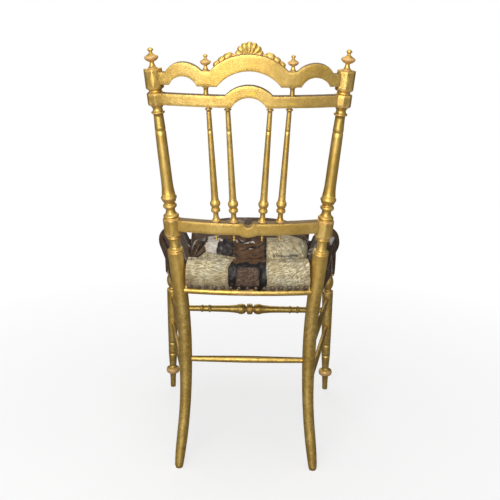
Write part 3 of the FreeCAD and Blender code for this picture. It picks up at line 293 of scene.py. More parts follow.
def put_mark(mesh, name, value):
    """Let the mesh's points carry a value for a material under a name."""
    spread = np.zeros(len(mesh.vertices)) + value
    mesh.attributes.new(name, "FLOAT", "POINT").data.foreach_set("value", spread)


merge_reach = 0.000004
most_cuts = 6
longest_edge = 0.007
arris_reach = 0.0016
sharp_angle = math.radians(32)
bevelled_angle = math.radians(18)
shaded_angle = math.radians(38)


def gilded(node, board=0.0, bevel=0.0, foot=None, top=None, plain_below=-1.0):
    """A merged copy of a wooden piece, its long faces divided and its worn places marked."""
    mesh = bpy.data.meshes.new(node + "_gilt")
    work = bmesh.new()
    work.from_mesh(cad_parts[node].data)
    bmesh.ops.remove_doubles(work, verts=work.verts, dist=merge_reach)
    if bevel:
        sharp = [edge for edge in work.edges if len(edge.link_faces) == 2
                 and edge.calc_face_angle(0) > sharp_angle]
        bmesh.ops.bevel(work, geom=sharp, offset=bevel, offset_type="OFFSET", segments=2, profile=0.5,
                        affect="EDGES", clamp_overlap=True)
    for _ in range(most_cuts):
        long_edges = [edge for edge in work.edges if edge.calc_length() > longest_edge]
        if not long_edges:
            break
        bmesh.ops.subdivide_edges(work, edges=long_edges, cuts=1)
        bmesh.ops.triangulate(work, faces=[face for face in work.faces if len(face.verts) > 4])
    arris_points = [edge.verts[0].co for edge in work.edges if len(edge.link_faces) == 2
                    and edge.calc_face_angle_signed(0) > (bevelled_angle if bevel else sharp_angle)]
    tree = KDTree(max(len(arris_points), 1))
    for index, point in enumerate(arris_points):
        tree.insert(point, index)
    tree.balance()
    work.to_mesh(mesh)
    work.free()
    place = places_of(mesh)
    near = np.array([tree.find(point)[2] if arris_points else 1.0 for point in place])
    arris = np.exp(-(near / arris_reach) ** 2)
    if board:
        proud = np.clip(0.5 + 0.22 * arris, 0, 1)
    else:
        centre = place.mean(axis=0)
        if foot is None:
            turn = np.linalg.svd(place - centre, full_matrices=False)[2][0]
            foot, top = centre - turn, centre + turn
        proud = proud_of(place, np.array(foot), np.array(top), arris, plain_below)
    mesh.shade_smooth()
    mesh.set_sharp_from_angle(angle=shaded_angle)
    put_mark(mesh, "proud", proud)
    put_mark(mesh, "board", board)
    mesh.materials.append(gold_paint)
    piece = bpy.data.objects.new(node + "_gilt", mesh)
    bpy.context.scene.collection.objects.link(piece)
    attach(piece, "root")
    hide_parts(node)
    return piece


joint_y = 0.1367
post_foot = np.array([0.137, joint_y, 0.3936])
post_top = np.array([0.1749, 0.1998, 0.8410])
for side, way in (("right", -1), ("left", 1)):
    gilded("rear_post_" + side, foot=post_foot * (way, 1, 1), top=post_top * (way, 1, 1), plain_below=0.088)

# Three boards of the back: sawn to arches, bowed backwards and tenoned into the posts; their top edges
# carry painted shade, a near-black colour that stands for shade and a dark reflection.
for node in ("crest_rail", "mid_rail", "lower_rail"):
    gilded(node, board=1.0, bevel=0.0008)

# Spindles: slim turned rods of gilded beech that swell downwards, two short ones above the middle
# board and four long ones below it, pegged between the boards.
for node in ("short_spindle", "back_spindle_outer", "back_spindle_inner"):
    for side in ("right", "left"):
        gilded(node + "_" + side)

# Finials and pendant drops: small gilded turnings, pegged on the posts, on the dips of the crest and
# under the lowest board.
for node in ("post_finial", "inner_finial", "pendant_drop_outer", "pendant_drop_inner"):
    for side in ("right", "left"):
        gilded(node + "_" + side)

# Carved crest: a limewood shell between trailing leaves, glued along the middle arch; what stands up
# is rubbed and the hollows are painted dark.
carving = gilded("crest_carving")
carved_depth = 0.0022
place = places_of(carving.data)
normal = places_of(carving.data, "normal")
flatten = carving.modifiers.new("flatten", "SMOOTH")
flatten.factor = 0.6
flatten.iterations = 24
flat = places_of(carving.evaluated_get(bpy.context.evaluated_depsgraph_get()).data)
carving.modifiers.remove(flatten)
stand = ((place - flat) * normal).sum(axis=1)
carving.data.attributes["proud"].data.foreach_set("value", np.clip(0.5 + stand / carved_depth, 0, 1))

# Front legs: turned and gilded beech with a ball under the seat, a flat disc and a small peg foot,
# their square heads set in the corners of the seat frame.
for side in ("right", "left"):
    gilded("front_leg_" + side)

# Stretchers: gilded beech, a turned one in front, a plain one behind and two plain ones on each
# side, pegged into the legs.
gilded("front_stretcher")
gilded("rear_stretcher")
for side in ("right", "left"):
    for node in ("side_stretcher_upper_", "side_stretcher_lower_"):
        gilded(node + side)

# Rear seat rail: bowed beech with tongues let into the posts, which shows as a gilded nosing below
# the nailed edge of the hide.
gilded("seat_rail_rear")

# Rear roll of the seat: hide stuffed with horsehair, nailed along the nosing between the posts and
# bowed like the rail inside it; two cream panels of embossed leather flank a brown one.
wall_half = 0.1212
bow_radius = 0.7881
bow_stand = 0.012
bow_centre_y = joint_y + bow_stand - bow_radius

patched_hide, tree, place = new_finish("patched hide")
lay = add_node(tree, "ShaderNodeUVMap", uv_map="hide").outputs[0]
depth_in = {}
for kind, ragged in (("cream", 0.5), ("brown", 0.8), ("black", 1.2), ("white", 7.0)):
    wander = ramp(tree, noise_at(tree, 130, 3, 0.6, place), 0.2, 0.8, -ragged / 2, ragged / 2)
    depth_in[kind] = math_of(tree, "ADD", mark(tree, kind), wander)
patch_of = {kind: ramp(tree, depth, -0.25, 0.25) for kind, depth in depth_in.items()}
stamped = math_of(tree, "MAXIMUM", patch_of["cream"], patch_of["brown"])
hair = noise_at(tree, 1.0, 5, 0.65, moved(tree, lay, (900, 75, 1)), 0.6)
tuft = noise_at(tree, 60, 4, 0.6, place, 1.0)
shade = math_of(tree, "ADD", times(tree, hair, 0.65), times(tree, tuft, 0.55))
brown_hair = blend_colour(tree, ramp(tree, shade, 0.42, 0.80), (0.018, 0.010, 0.006), (0.185, 0.108, 0.060))
white_hair = blend_colour(tree, ramp(tree, shade, 0.42, 0.72), (0.26, 0.22, 0.18), (0.68, 0.64, 0.58))
spots = math_of(tree, "ADD", noise_at(tree, 15, 4, 0.55, place, 0.8), mark(tree, "dapple"))
spots = math_of(tree, "ADD", spots, ramp(tree, hair, 0.3, 0.7, -0.03, 0.03))
hide = blend_colour(tree, ramp(tree, spots, 0.99, 1.05), brown_hair, white_hair)

bend = add_node(tree, "ShaderNodeTexNoise", {"Vector": lay, "Scale": 38.0, "Detail": 2.0}).outputs["Color"]
bent = vector_of(tree, "ADD", lay, vector_of(tree, "MULTIPLY", bend, (0.009, 0.009, 0.0)))
bent = add_node(tree, "ShaderNodeVectorRotate", {"Vector": bent, "Angle": mark(tree, "wrinkle_turn")},
                rotation_type="Z_AXIS").outputs[0]
wrinkles = noise_at(tree, 1.0, 2, 0.5, moved(tree, bent, (66, 500, 1)))
split = math_of(tree, "ABSOLUTE", math_of(tree, "SUBTRACT", wrinkles, 0.5))
crease = ramp(tree, split, 0.055, 0.0)
puff = ramp(tree, split, 0.0, 0.20)
grain = noise_at(tree, 520, 4, 0.65, place)
emboss = math_of(tree, "ADD", times(tree, puff, 0.7), times(tree, grain, 0.45))
cream = blend_colour(tree, ramp(tree, emboss, 0.20, 0.80), (0.50, 0.40, 0.20), (0.88, 0.79, 0.54))
cream = blend_colour(tree, times(tree, crease, 0.75), cream, (0.215, 0.15, 0.07))
cream = blend_colour(tree, ramp(tree, noise_at(tree, 26, 4, 0.6, place), 0.50, 0.66, 0, 0.36), cream,
                     (0.40, 0.42, 0.37))
yellowed = noise_at(tree, 34, 4, 0.65, moved(tree, place, location=(2, 5, 1)))
cream = blend_colour(tree, ramp(tree, yellowed, 0.52, 0.72, 0, 0.46), cream, (0.36, 0.245, 0.085))
for name, scale, ragged, low, high, share, dark_tone in (
        ("darkening", 70, 0.35, 0.25, 1.0, 0.80, (0.20, 0.125, 0.052)),
        ("painted_shade", 110, 0.40, 0.30, 0.95, 0.85, (0.072, 0.058, 0.055))):
    wander = ramp(tree, noise_at(tree, scale, 5, 0.7, place), 0.3, 0.7, -ragged, ragged)
    dirty = ramp(tree, math_of(tree, "ADD", mark(tree, name), wander), low, high)
    cream = blend_colour(tree, times(tree, dirty, share), cream, dark_tone)
seam_far, seam_near = (math_of(tree, "ABSOLUTE", math_of(tree, "SUBTRACT", depth_in["cream"], inset))
                       for inset in (4.6, 1.9))
seam = math_of(tree, "MINIMUM", seam_far, seam_near)
dashes = add_node(tree, "ShaderNodeTexWave", {"Vector": place, "Scale": 95.0}, wave_type="BANDS",
                  bands_direction="DIAGONAL").outputs["Fac"]
stitched = times(tree, ramp(tree, seam, 0.75, 0.25), ramp(tree, dashes, 0.2, 0.5, 0.35, 1.0))
cream = blend_colour(tree, times(tree, stitched, 0.75), cream, (0.17, 0.125, 0.07))
black = blend_colour(tree, ramp(tree, tuft, 0.42, 0.68), (0.006, 0.005, 0.005), (0.040, 0.030, 0.026))
# Painted highlights: grey glints on the black leather a little inside its edges.
grey_glint = times(tree, ramp(tree, depth_in["black"], 4.0, 8.0), ramp(tree, depth_in["black"], 13.0, 6.0))
grey_glint = times(tree, grey_glint, ramp(tree, noise_at(tree, 75, 4, 0.65, place, 0.8), 0.47, 0.64, 0, 0.42))
black = blend_colour(tree, grey_glint, black, (0.20, 0.185, 0.18))
worn = blend_colour(tree, ramp(tree, emboss, 0.25, 0.85), (0.080, 0.046, 0.030), (0.205, 0.132, 0.088))
worn = blend_colour(tree, times(tree, crease, 0.5), worn, (0.030, 0.016, 0.013))
for kind, colour in (("white", white_hair), ("black", black), ("brown", worn), ("cream", cream)):
    hide = blend_colour(tree, patch_of[kind], hide, colour)
cream_edge, brown_edge = (ramp(tree, math_of(tree, "ABSOLUTE", depth_in[kind]), 0.9, 0.2)
                          for kind in ("cream", "brown"))
edge = math_of(tree, "MAXIMUM", cream_edge, brown_edge)
hide = blend_colour(tree, times(tree, edge, 0.7), hide, (0.050, 0.034, 0.022))
leather = math_of(tree, "MAXIMUM", stamped, patch_of["black"])
relief = math_of(tree, "ADD", times(tree, hair, math_of(tree, "SUBTRACT", 1.25, leather)),
                 times(tree, math_of(tree, "SUBTRACT", emboss, crease), stamped))
relief = math_of(tree, "ADD", relief, times(tree, grain, 0.25))
relief = math_of(tree, "SUBTRACT", relief, times(tree, stitched, 0.5))
gloss = ramp(tree, leather, 0, 1, 0.70, 0.46)
gloss = math_of(tree, "SUBTRACT", gloss, times(tree, patch_of["black"], 0.10))
close_finish(tree, hide, relief, 0.85, 0.0009,
             {"Roughness": gloss, "Specular IOR Level": ramp(tree, leather, 0, 1, 0.08, 0.24)})


def rounded_line(points, counts):
    """Points along a chain of straight or bulging stretches; each row is (y, z, bulge to here)."""
    made = []
    for (start, end), count in zip(zip(points, points[1:]), counts):
        first, last = np.array(start[:2]), np.array(end[:2])
        along = last - first
        side = np.array([along[1], -along[0]])
        for share in np.arange(count) / count:
            made.append(first + along * share + side * end[2] * 4 * share * (1 - share))
    return np.array(made)


def closed_grid(name, rows, across, along):
    """A closed form from wrapped rows of points, with a map that runs in metres over the hide."""
    count, ring = rows.shape[:2]
    verts = rows.reshape(-1, 3).tolist()
    faces = []
    maps = []
    for i in range(count - 1):
        for j in range(ring):
            after = (j + 1) % ring
            faces.append((i * ring + j, i * ring + after, (i + 1) * ring + after, (i + 1) * ring + j))
            maps.append(((across[i], along[j]), (across[i], along[j + 1]),
                         (across[i + 1], along[j + 1]), (across[i + 1], along[j])))
    for i, turned in ((0, True), (count - 1, False)):
        middle = len(verts)
        verts.append(rows[i].mean(axis=0).tolist())
        for j in range(ring):
            after = (j + 1) % ring
            face = (i * ring + j, i * ring + after, middle)
            lay = ((across[i], along[j]), (across[i], along[j + 1]), (across[i], along[j]))
            faces.append(face[::-1] if turned else face)
            maps.append(lay[::-1] if turned else lay)
    mesh = bpy.data.meshes.new(name)
    mesh.from_pydata(verts, [], faces)
    layer = mesh.uv_layers.new(name="hide")
    layer.data.foreach_set("uv", np.array([value for lay in maps for point in lay for value in point]))
    work = bmesh.new()
    work.from_mesh(mesh)
    if work.calc_volume(signed=True) < 0:
        bmesh.ops.reverse_faces(work, faces=work.faces)
    work.to_mesh(mesh)
    work.free()
    mesh.shade_smooth()
    piece = bpy.data.objects.new(name, mesh)
    bpy.context.scene.collection.objects.link(piece)
    return piece


blown_frames = 20


def stuffed(piece, held, cap):
    """Blow the sewn hide up over its stuffing: held points stay and none moves past the cap."""
    start = places_of(piece.data)
    group = piece.vertex_groups.new(name="nailed")
    group.add(np.flatnonzero(held).tolist(), 1.0, "REPLACE")
    cloth = piece.modifiers.new("stuffing", "CLOTH")
    cloth.settings.mass = 0.4
    cloth.settings.tension_stiffness = 20
    cloth.settings.compression_stiffness = 20
    cloth.settings.bending_stiffness = 2
    cloth.settings.use_pressure = True
    cloth.settings.uniform_pressure_force = 4.0
    cloth.settings.vertex_group_mass = "nailed"
    cloth.settings.effector_weights.gravity = 0
    for number in range(1, blown_frames + 1):
        bpy.context.scene.frame_set(number)
    live = piece.evaluated_get(bpy.context.evaluated_depsgraph_get())
    move = places_of(live.data) - start
    length = np.linalg.norm(move, axis=1, keepdims=True)
    move *= np.minimum(1, cap / np.maximum(length, 1e-9))
    piece.modifiers.remove(cloth)
    piece.vertex_groups.clear()
    bpy.context.scene.frame_set(1)
    piece.data.vertices.foreach_set("co", (start + move).ravel())


def divided(piece):
    """Divide every face of a hide piece once and round it, so that its folds come out fine."""
    finer = piece.modifiers.new("finer", "SUBSURF")
    finer.levels = finer.render_levels = 1
    finer.use_limit_surface = False
    live = piece.evaluated_get(bpy.context.evaluated_depsgraph_get())
    mesh = bpy.data.meshes.new_from_object(live)
    piece.modifiers.remove(finer)
    piece.data = mesh
    mesh.shade_smooth()


def put_places(piece, place):
    piece.data.vertices.foreach_set("co", place.ravel())
    piece.data.update()


def raised(piece, height):
    """Move every point along its normal by the given heights."""
    put_places(piece, places_of(piece.data) + places_of(piece.data, "normal") * height[:, None])


nowhere = -60.0


def dressed(piece, patches=(), dapple=0.0, darkening=0.0, painted_shade=0.0, wrinkle_turn=0.0):
    """Give a hide piece its patches, as depths inside their edges in mm (black also stands for painted
    shade in folds), its dapples, its darkening and its painted shade.
    """
    patches = dict(patches)
    for kind in ("cream", "brown", "black", "white"):
        put_mark(piece.data, kind, patches.get(kind, nowhere))
    for name, value in (("dapple", dapple), ("darkening", darkening), ("painted_shade", painted_shade),
                        ("wrinkle_turn", wrinkle_turn)):
        put_mark(piece.data, name, value)
    piece.data.materials.clear()
    piece.data.materials.append(patched_hide)
    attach(piece, "root")
    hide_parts("seat_cover")


def clamped(value):
    return np.clip(value, 0, 1)


def hump(value, centre, spread):
    """1 at the centre, falling off smoothly to both sides."""
    return np.exp(-((value - centre) / spread) ** 2)


def least(*depths):
    """The smallest of several depths, point by point: how deep a point lies inside all the edges."""
    return np.min(np.broadcast_arrays(*depths), axis=0)


wall_low = 0.4051
inner_low = 0.4250
inner_reach = 0.0094
outer_reach = 0.0096
section = rounded_line(
    [(outer_reach, wall_low, 0), (0.0115, wall_low, 0), (0.0045, 0.4640, 0.20), (-0.0060, 0.4625, 0.30),
     (-0.0125, 0.4440, 0.0), (-0.0125, 0.4300, 0), (-0.0100, inner_low, 0), (inner_reach, inner_low, 0),
     (inner_reach, 0.4200, 0), (outer_reach, wall_low, 0)], (1, 34, 7, 5, 3, 2, 6, 2, 5))
steps = np.linalg.norm(np.roll(section, -1, axis=0) - section, axis=1)
section_along = np.concatenate([[0], np.cumsum(steps)])
wall_across = np.linspace(-wall_half, wall_half, 101)
rows = []
for x in wall_across:
    turn = math.asin(x / bow_radius)
    reach = bow_radius + section[:, 0]
    away = bow_centre_y + reach * math.cos(turn)
    rows.append(np.stack([reach * math.sin(turn), away, section[:, 1]], axis=1))
rear_roll = closed_grid("rear_roll", np.array(rows), wall_across, section_along)
place = places_of(rear_roll.data)
inner_face = bow_centre_y + np.sqrt(np.maximum((bow_radius + inner_reach) ** 2 - place[:, 0] ** 2, 0))
stuffed(rear_roll, (place[:, 1] < inner_face + 0.0004) | (place[:, 2] < 0.413), cap=0.004)
divided(rear_roll)

place = places_of(rear_roll.data)
x = place[:, 0] * 1000
rise = clamped((place[:, 2] - 0.405) / 0.060)
left_edge = 38.5 - 9 * clamped((rise - 0.74) / 0.26) ** 1.5 - 4 * clamped((0.22 - rise) / 0.22)
right_edge = 37.5 - 2.5 * clamped((0.3 - rise) / 0.3) + 1.2 * np.sin(rise * 6)
cream = np.maximum(x - left_edge, -right_edge - x)
top_edge = (0.80 - rise) * 60 - clamped((np.abs(x) - 13) / 9) ** 2 * 5
brown = least(22 + 1.2 * np.sin(rise * 7) - np.abs(x), top_edge, (rise - 0.17) * 60)
black = least(40 - np.abs(x), (0.93 - rise) * 60 + 1.8 * np.sin(x * 0.19 + 0.6) + 0.9 * np.sin(x * 0.47))
# The cream is painted darker toward the bottom of the roll, in a band across its left half and next to the
# posts.
darkening = 0.75 * hump(rise, 0, 0.30) + 0.45 * hump(rise, 0.35, 0.18) * (x > 0)
darkening += 0.35 * hump(np.abs(x), 116, 8)
nails_half = 0.1149
nail_gaps = 28
round_bow = np.arcsin(np.clip(x / 1000 / bow_radius, -1, 1)) / math.asin(nails_half / bow_radius)
nail_wave = np.cos((round_bow + 1) * nail_gaps / 2 * math.pi)
near_nails = clamped(1 - (place[:, 2] - 0.4095) / 0.011) * (place[:, 2] > 0.4060)
# Painted shade on the cream: a dark band along the nailed edge, darker at each nail, and a thin one in the
# crease along the top of the roll.
painted_shade = (1.0 + 0.45 * nail_wave) * hump(rise, 0.07, 0.14) + 0.5 * hump(rise, 0.98, 0.05)
gathers = 0.0014 * near_nails * nail_wave
folds = 0.0006 * np.sin(x * 0.9 + 3 * np.sin(x * 0.13)) * clamped(1 - (place[:, 2] - 0.409) / 0.026)
welts = 0.0013 * hump(np.abs(x), 23.4, 1.5) * (rise < 0.80)
lap = 0.0011 * clamped(cream / 1.6 + 0.5) - 0.0007 * hump(cream, 4.6, 0.9)
wrinkle = 0.0010 * np.sin(x * 0.085 + 1.3) * np.sin(rise * 5 + x * 0.03)
wrinkle += 0.0006 * np.sin(x * 0.21 + rise * 9)
past_bow = place[:, 1] - (bow_centre_y + np.sqrt(bow_radius ** 2 - place[:, 0] ** 2))
raised(rear_roll, (gathers - folds + welts + lap + wrinkle) * clamped((past_bow - 0.004) / 0.003))
dressed(rear_roll, {"cream": cream, "brown": brown, "black": black}, darkening=darkening, painted_shade=painted_shade,
        wrinkle_turn=np.where(x < 0, 0.42, -0.06))

# Side rolls: thick sausages of hide over the side rails, tapering to the rear, with a round head in
# front over the leg and a gathered end behind that goes in by the post.
roll_rear = np.array([0.124, joint_y - 0.016, 0.422])
roll_front = np.array([0.193, joint_y - 0.333, 0.415])
roll_rear_radius = 0.0305
roll_front_radius = 0.0375
rear_end = 0.016
roll_along = (roll_front - roll_rear) / np.linalg.norm(roll_front - roll_rear)
roll_length = np.linalg.norm(roll_front - roll_rear)
roll_out = np.cross((0, 0, 1), roll_along)
roll_out /= np.linalg.norm(roll_out)
roll_up = np.cross(roll_along, roll_out)


def roll_radius(reach):
    """Radius of the side roll at a distance from its rear end."""
    reach = np.asarray(reach, float)
    radius = roll_rear_radius + (roll_front_radius - roll_rear_radius) * clamped(reach / roll_length)
    radius = radius * np.sqrt(clamped(1 - (1 - clamped(reach / rear_end)) ** 2.4))
    past = clamped((reach - roll_length) / roll_front_radius)
    return radius * np.sqrt(1 - past ** 2)


rail_front = np.array([0.2015, joint_y - 0.355])
rail_rear = np.array([0.137, joint_y])
rail_turn = (rail_rear - rail_front) / np.linalg.norm(rail_rear - rail_front)
rail_inner, rail_outer = -0.0096, 0.0098
head_half = 0.0137
apron_outer = 0.2186
apron_rear = joint_y - 0.3390
on_deck, on_rail, on_leg_head, on_apron = 0.4010, 0.4106, 0.4090, 0.4098


def above_wood(place):
    """Lift the underside of a roll clear of the rail, the leg head, the apron and the deck below it."""
    plan = np.column_stack([np.abs(place[:, 0]), place[:, 1]])
    offset = (plan - rail_front) @ np.array([rail_turn[1], -rail_turn[0]])
    floor_level = np.where(offset < rail_inner, on_deck, np.where(offset < rail_outer, on_rail, -1.0))
    over_head = (np.abs(plan - rail_front) < head_half).all(axis=1)
    floor_level = np.where(over_head, on_leg_head, floor_level)
    over_apron = (plan[:, 0] < apron_outer) & (plan[:, 1] < apron_rear) & ~over_head
    floor_level = np.where(over_apron, np.maximum(floor_level, on_apron), floor_level)
    place[:, 2] = np.maximum(place[:, 2], floor_level)
    return place


reaches = np.concatenate([rear_end * np.linspace(0.02, 0.94, 11) ** 1.6,
                          np.linspace(rear_end, roll_length, 62),
                          roll_length + roll_front_radius * np.sin(np.linspace(0.1, 1.52, 13))])
turns = np.linspace(0, 2 * math.pi, 57)[:-1]
mean_radius = 0.034
girth = np.concatenate([turns, [2 * math.pi]]) * mean_radius
for side, way, outer_share in (("right", -1, 0.82), ("left", 1, 1.0)):
    rows = []
    for reach in reaches:
        outward = np.cos(turns) * np.where(np.cos(turns) > 0, outer_share, 1.0)
        ring = (np.outer(outward, roll_out) + np.outer(np.sin(turns), roll_up)) * roll_radius(reach)
        rows.append((roll_rear + roll_along * reach + ring) * (way, 1, 1))
    side_roll = closed_grid("side_roll_" + side, np.array(rows), reaches, girth)
    stuffed(side_roll, places_of(side_roll.data)[:, 2] < 0.405, cap=0.003)
    divided(side_roll)
    put_places(side_roll, above_wood(places_of(side_roll.data)))

    local = places_of(side_roll.data) * (way, 1, 1) - roll_rear
    reach = local @ roll_along
    turn = np.arctan2(local @ roll_up, local @ roll_out)
    drawn_length = 0.105 + 0.11 * clamped(2 * np.cos(turn))
    drawn_in = clamped(1 - reach / drawn_length) * np.clip(reach / 0.010, 0.15, 1)
    pleats = np.cos(13 * turn + 1.2 * way + 5 * reach) + 0.6 * np.cos(22 * turn + 2.1)
    loose = 0.0006 * np.sin(reach * 95 + 2 * np.sin(turn * 2 + way)) * clamped(reach / 0.05)
    upper = clamped((local[:, 2] + 0.006) / 0.01)
    raised(side_roll, upper * (0.0026 * drawn_in * pleats + loose))
    near_post = clamped(1 - reach / 0.30)
    # Painted shade: black in the valleys of the pleats, strongest near the post.
    pleat_shade = (-pleats - 0.40) * 3.0 * near_post ** 0.5 - 8 * (near_post < 0.05)
    inner = clamped((-np.cos(turn) - 0.1) * 1.6) * clamped(1 - reach / 0.10)
    white = (np.cos(9 * turn + 1.0) + 0.5 * np.cos(16 * turn) - 0.45) * 3.5 - 30 * (inner < 0.20)
    if side == "right":
        white = np.maximum(white, (1 - np.hypot((reach - 0.235) / 0.036, (turn - 0.85) / 0.26)) * 12)
    dressed(side_roll, {"black": pleat_shade, "white": white}, dapple=0.37 + 0.05 * inner)

# Seat pad: the domed middle of the seat, higher behind than in front, pressed between the side rolls
# and the rear roll; patches of brown, black and white hide and cream leather are sewn over it.
pad_profile = [(0.000, 0.0032), (0.014, 0.0018), (0.025, 0.0050), (0.0347, 0.0112), (0.0426, 0.0186),
               (0.0487, 0.0285), (0.0532, 0.0409), (0.0560, 0.0560), (0.0572, 0.0700)]


corner_steps = 9


def round_plan(front_half, rear_half, front_y, rear_y, corner, counts):
    """Points round a four-sided plan with rounded corners, in order from the rear left corner."""
    corners = [(rear_half, rear_y), (-rear_half, rear_y), (-front_half, front_y), (front_half, front_y)]
    corners = [np.array(point) for point in corners]
    made = []
    for index in range(4):
        before, here, after = corners[index - 1], corners[index], corners[(index + 1) % 4]
        beyond = corners[(index + 2) % 4]
        to_before = (before - here) / np.linalg.norm(before - here)
        to_after = (after - here) / np.linalg.norm(after - here)
        half_angle = math.acos(np.clip(to_before @ to_after, -1, 1)) / 2
        reach = corner / math.tan(half_angle)
        inward = (to_before + to_after) / np.linalg.norm(to_before + to_after)
        centre = here + inward * corner / math.sin(half_angle)
        start = here + to_before * reach - centre
        stop = here + to_after * reach - centre
        turn = math.pi - 2 * half_angle
        sense = np.sign(start[0] * stop[1] - start[1] * stop[0])
        for share in np.arange(corner_steps) / corner_steps:
            angle = sense * turn * share
            made.append(centre + np.array([start[0] * math.cos(angle) - start[1] * math.sin(angle),
                                           start[0] * math.sin(angle) + start[1] * math.cos(angle)]))
        first = here + to_after * reach
        back_turn = (here - after) / np.linalg.norm(here - after)
        on_turn = (beyond - after) / np.linalg.norm(beyond - after)
        next_angle = math.acos(np.clip(back_turn @ on_turn, -1, 1)) / 2
        last = after + back_turn * corner / math.tan(next_angle)
        for share in np.arange(counts[index]) / counts[index]:
            made.append(first + (last - first) * share)
    return np.array(made)


pad_front_half, pad_rear_half = 0.152, 0.119
pad_front, pad_rear = joint_y - 0.362, joint_y + 0.004
pad_middle = np.array([0, joint_y - 0.185])
pad_corner, least_corner = 0.046, 0.0155
pad_level = 0.452
pad_low = 0.4012
pad_slope = 0.085
crown_rise, crown_radius, crown_foot = 0.1470, 0.361, 0.0910


def pad_row(inset, rise, spread=1.0):
    """One closed line round the pad, drawn in by the inset and lifted by the rise, under the crown."""
    plan = round_plan(pad_front_half - inset, pad_rear_half - inset, pad_front + inset, pad_rear - inset,
                      max(pad_corner - 0.2 * inset, least_corner), (56, 40, 36, 40))
    plan = pad_middle + (plan - pad_middle) * spread
    crown = crown_rise - crown_radius + np.sqrt(crown_radius ** 2 - plan[:, 0] ** 2)
    level = pad_level + np.minimum(rise, crown - crown_foot) + pad_slope * (plan[:, 1] - joint_y)
    return np.column_stack([plan, level])


rows = []
for depth in (-0.056, -0.045, -0.034, -0.024, -0.015, -0.008):
    rows.append(pad_row(0.0, depth))
rises, insets = zip(*pad_profile)
profile_reach = np.concatenate([[0], np.cumsum(np.hypot(np.diff(rises), np.diff(insets)))])
for share in np.linspace(0, profile_reach[-1], 31):
    rows.append(pad_row(np.interp(share, profile_reach, insets), np.interp(share, profile_reach, rises)))
for spread in (0.86, 0.72, 0.58, 0.44, 0.30, 0.16, 0.04):
    rows.append(pad_row(insets[-1], rises[-1] + 0.003 * (1 - spread ** 2), spread))
rows = np.array(rows)
rows[:6, :, 2] = np.maximum(rows[:6, :, 2], pad_low)
rows[0, :, 2] = pad_low


off_roll = 0.0034
inside_wall = 0.0132
over_roll = 0.0195
tuck_level, tuck_height = 0.4660, 0.012


def pressed_in(place):
    """Press the pad clear of the two side rolls and the rear roll that hold it."""
    flat = place.reshape(-1, 3)
    for way in (-1, 1):
        local = flat * (way, 1, 1) - roll_rear
        reach = np.clip(local @ roll_along, 0, roll_length + roll_front_radius)
        away = local - np.outer(reach, roll_along)
        distance = np.linalg.norm(away, axis=1)
        short = np.maximum(roll_radius(np.maximum(reach, 0.012)) + off_roll - distance, 0)
        short = np.where((local @ roll_along) < -0.003, 0, short)
        away[:, 0] = np.minimum(away[:, 0], -0.25 * distance)
        away /= np.linalg.norm(away, axis=1, keepdims=True)
        flat = flat + away * short[:, None] * (way, 1, 1)
    wall_y = bow_centre_y + np.sqrt(np.maximum((bow_radius - inside_wall) ** 2 - flat[:, 0] ** 2, 0))
    tuck = clamped((tuck_level - flat[:, 2]) / tuck_height)
    tuck = tuck * tuck * (3 - 2 * tuck)
    limit = wall_y + (1 - tuck) * over_roll
    flat[:, 1] = np.minimum(flat[:, 1], np.maximum(limit, 0))
    return flat.reshape(place.shape)


rows = pressed_in(rows)
around = np.concatenate([[0], np.cumsum(np.linalg.norm(np.diff(rows[12], axis=0), axis=1)), [1.2]])
seat_pad = closed_grid("seat_pad", rows, np.arange(len(rows)) * 0.0035, around)
place = places_of(seat_pad.data)
stuffed(seat_pad, (place[:, 2] < 0.440) | (place[:, 1] > joint_y - 0.002), cap=0.004)
divided(seat_pad)
place = pressed_in(places_of(seat_pad.data))
put_places(seat_pad, place)

# Patches, seams and folds are laid out in mm: x from the chair's middle, z from the floor, and y from
# the rear posts, less than 0 in front of them.
x = place[:, 0] * 1000
z = place[:, 2] * 1000
y = (place[:, 1] - joint_y) * 1000
slope = clamped((y + 62) / 14)
for way in (-1, 1):
    across = (place[:, 0] - way * 0.112) * 1000
    height = z - 458
    far = np.hypot(across, height)
    turn = np.arctan2(height, -way * across)
    fade = clamped((far - 5) / 12) * clamped((72 - far) / 40) * slope
    fade = fade * clamped((-way * across + 6) / 12)
    fan = np.cos(15 * turn) + 0.5 * np.cos(27 * turn + 1)
    raised(seat_pad, 0.0020 * fade * fan)
# Painted shade: black in the valleys of the fan of pleats at the left rear corner.
left_pleat_shade = np.where(fade > 0.05, (-fan - 0.10) * 3.2 * fade ** 0.5, nowhere)
rear_face = y > -60
cream = np.where(y > -88, least(-37 - x, x + 122 - 0.08 * y, 500 - z), nowhere)
folded = least(x - 24, 108 - x, 466.5 + 0.155 * (x - 24) - z, (108 - x) * 0.9 + 457 - z)
cream = np.maximum(cream, np.where(rear_face, folded, nowhere))
strip_left = 84 + 3 * np.sin(z * 0.16) + 9 * clamped((474 - z) / 12)
strip_right = 62 + 2.0 * np.sin(z * 0.21 + 1)
white = np.where(rear_face, least(x - strip_right, strip_left - x, 499 - z), nowhere)
for middle_x, middle_z, half_x, half_z, tilt in ((3, 493.5, 15, 1.7, -0.02), (-6, 484.5, 9, 1.7, -0.06),
                                                 (48, 494.5, 11, 1.5, 0.30), (20, 496.5, 9, 1.2, 0.12)):
    off = np.hypot((x - middle_x) / half_x, (z - middle_z - tilt * (x - middle_x)) / half_z)
    white = np.maximum(white, np.where(y > -70, (1 - off) * 3.0, nowhere))
black = np.where(rear_face, least(x - 30.5, 62 - x, 496 - z + 2.5 * np.sin(x * 0.3)), nowhere)
black = np.maximum(black, np.where(rear_face, least(-x - 32.5, 37 + x, 499 - z), nowhere))
black = np.maximum(black, np.where(x > 86, left_pleat_shade, nowhere))
tucks = np.sin(z * 0.50 + 2.4 * np.sin(x * 0.060 + 1) + 1.1 * np.sin(x * 0.21 + z * 0.05))
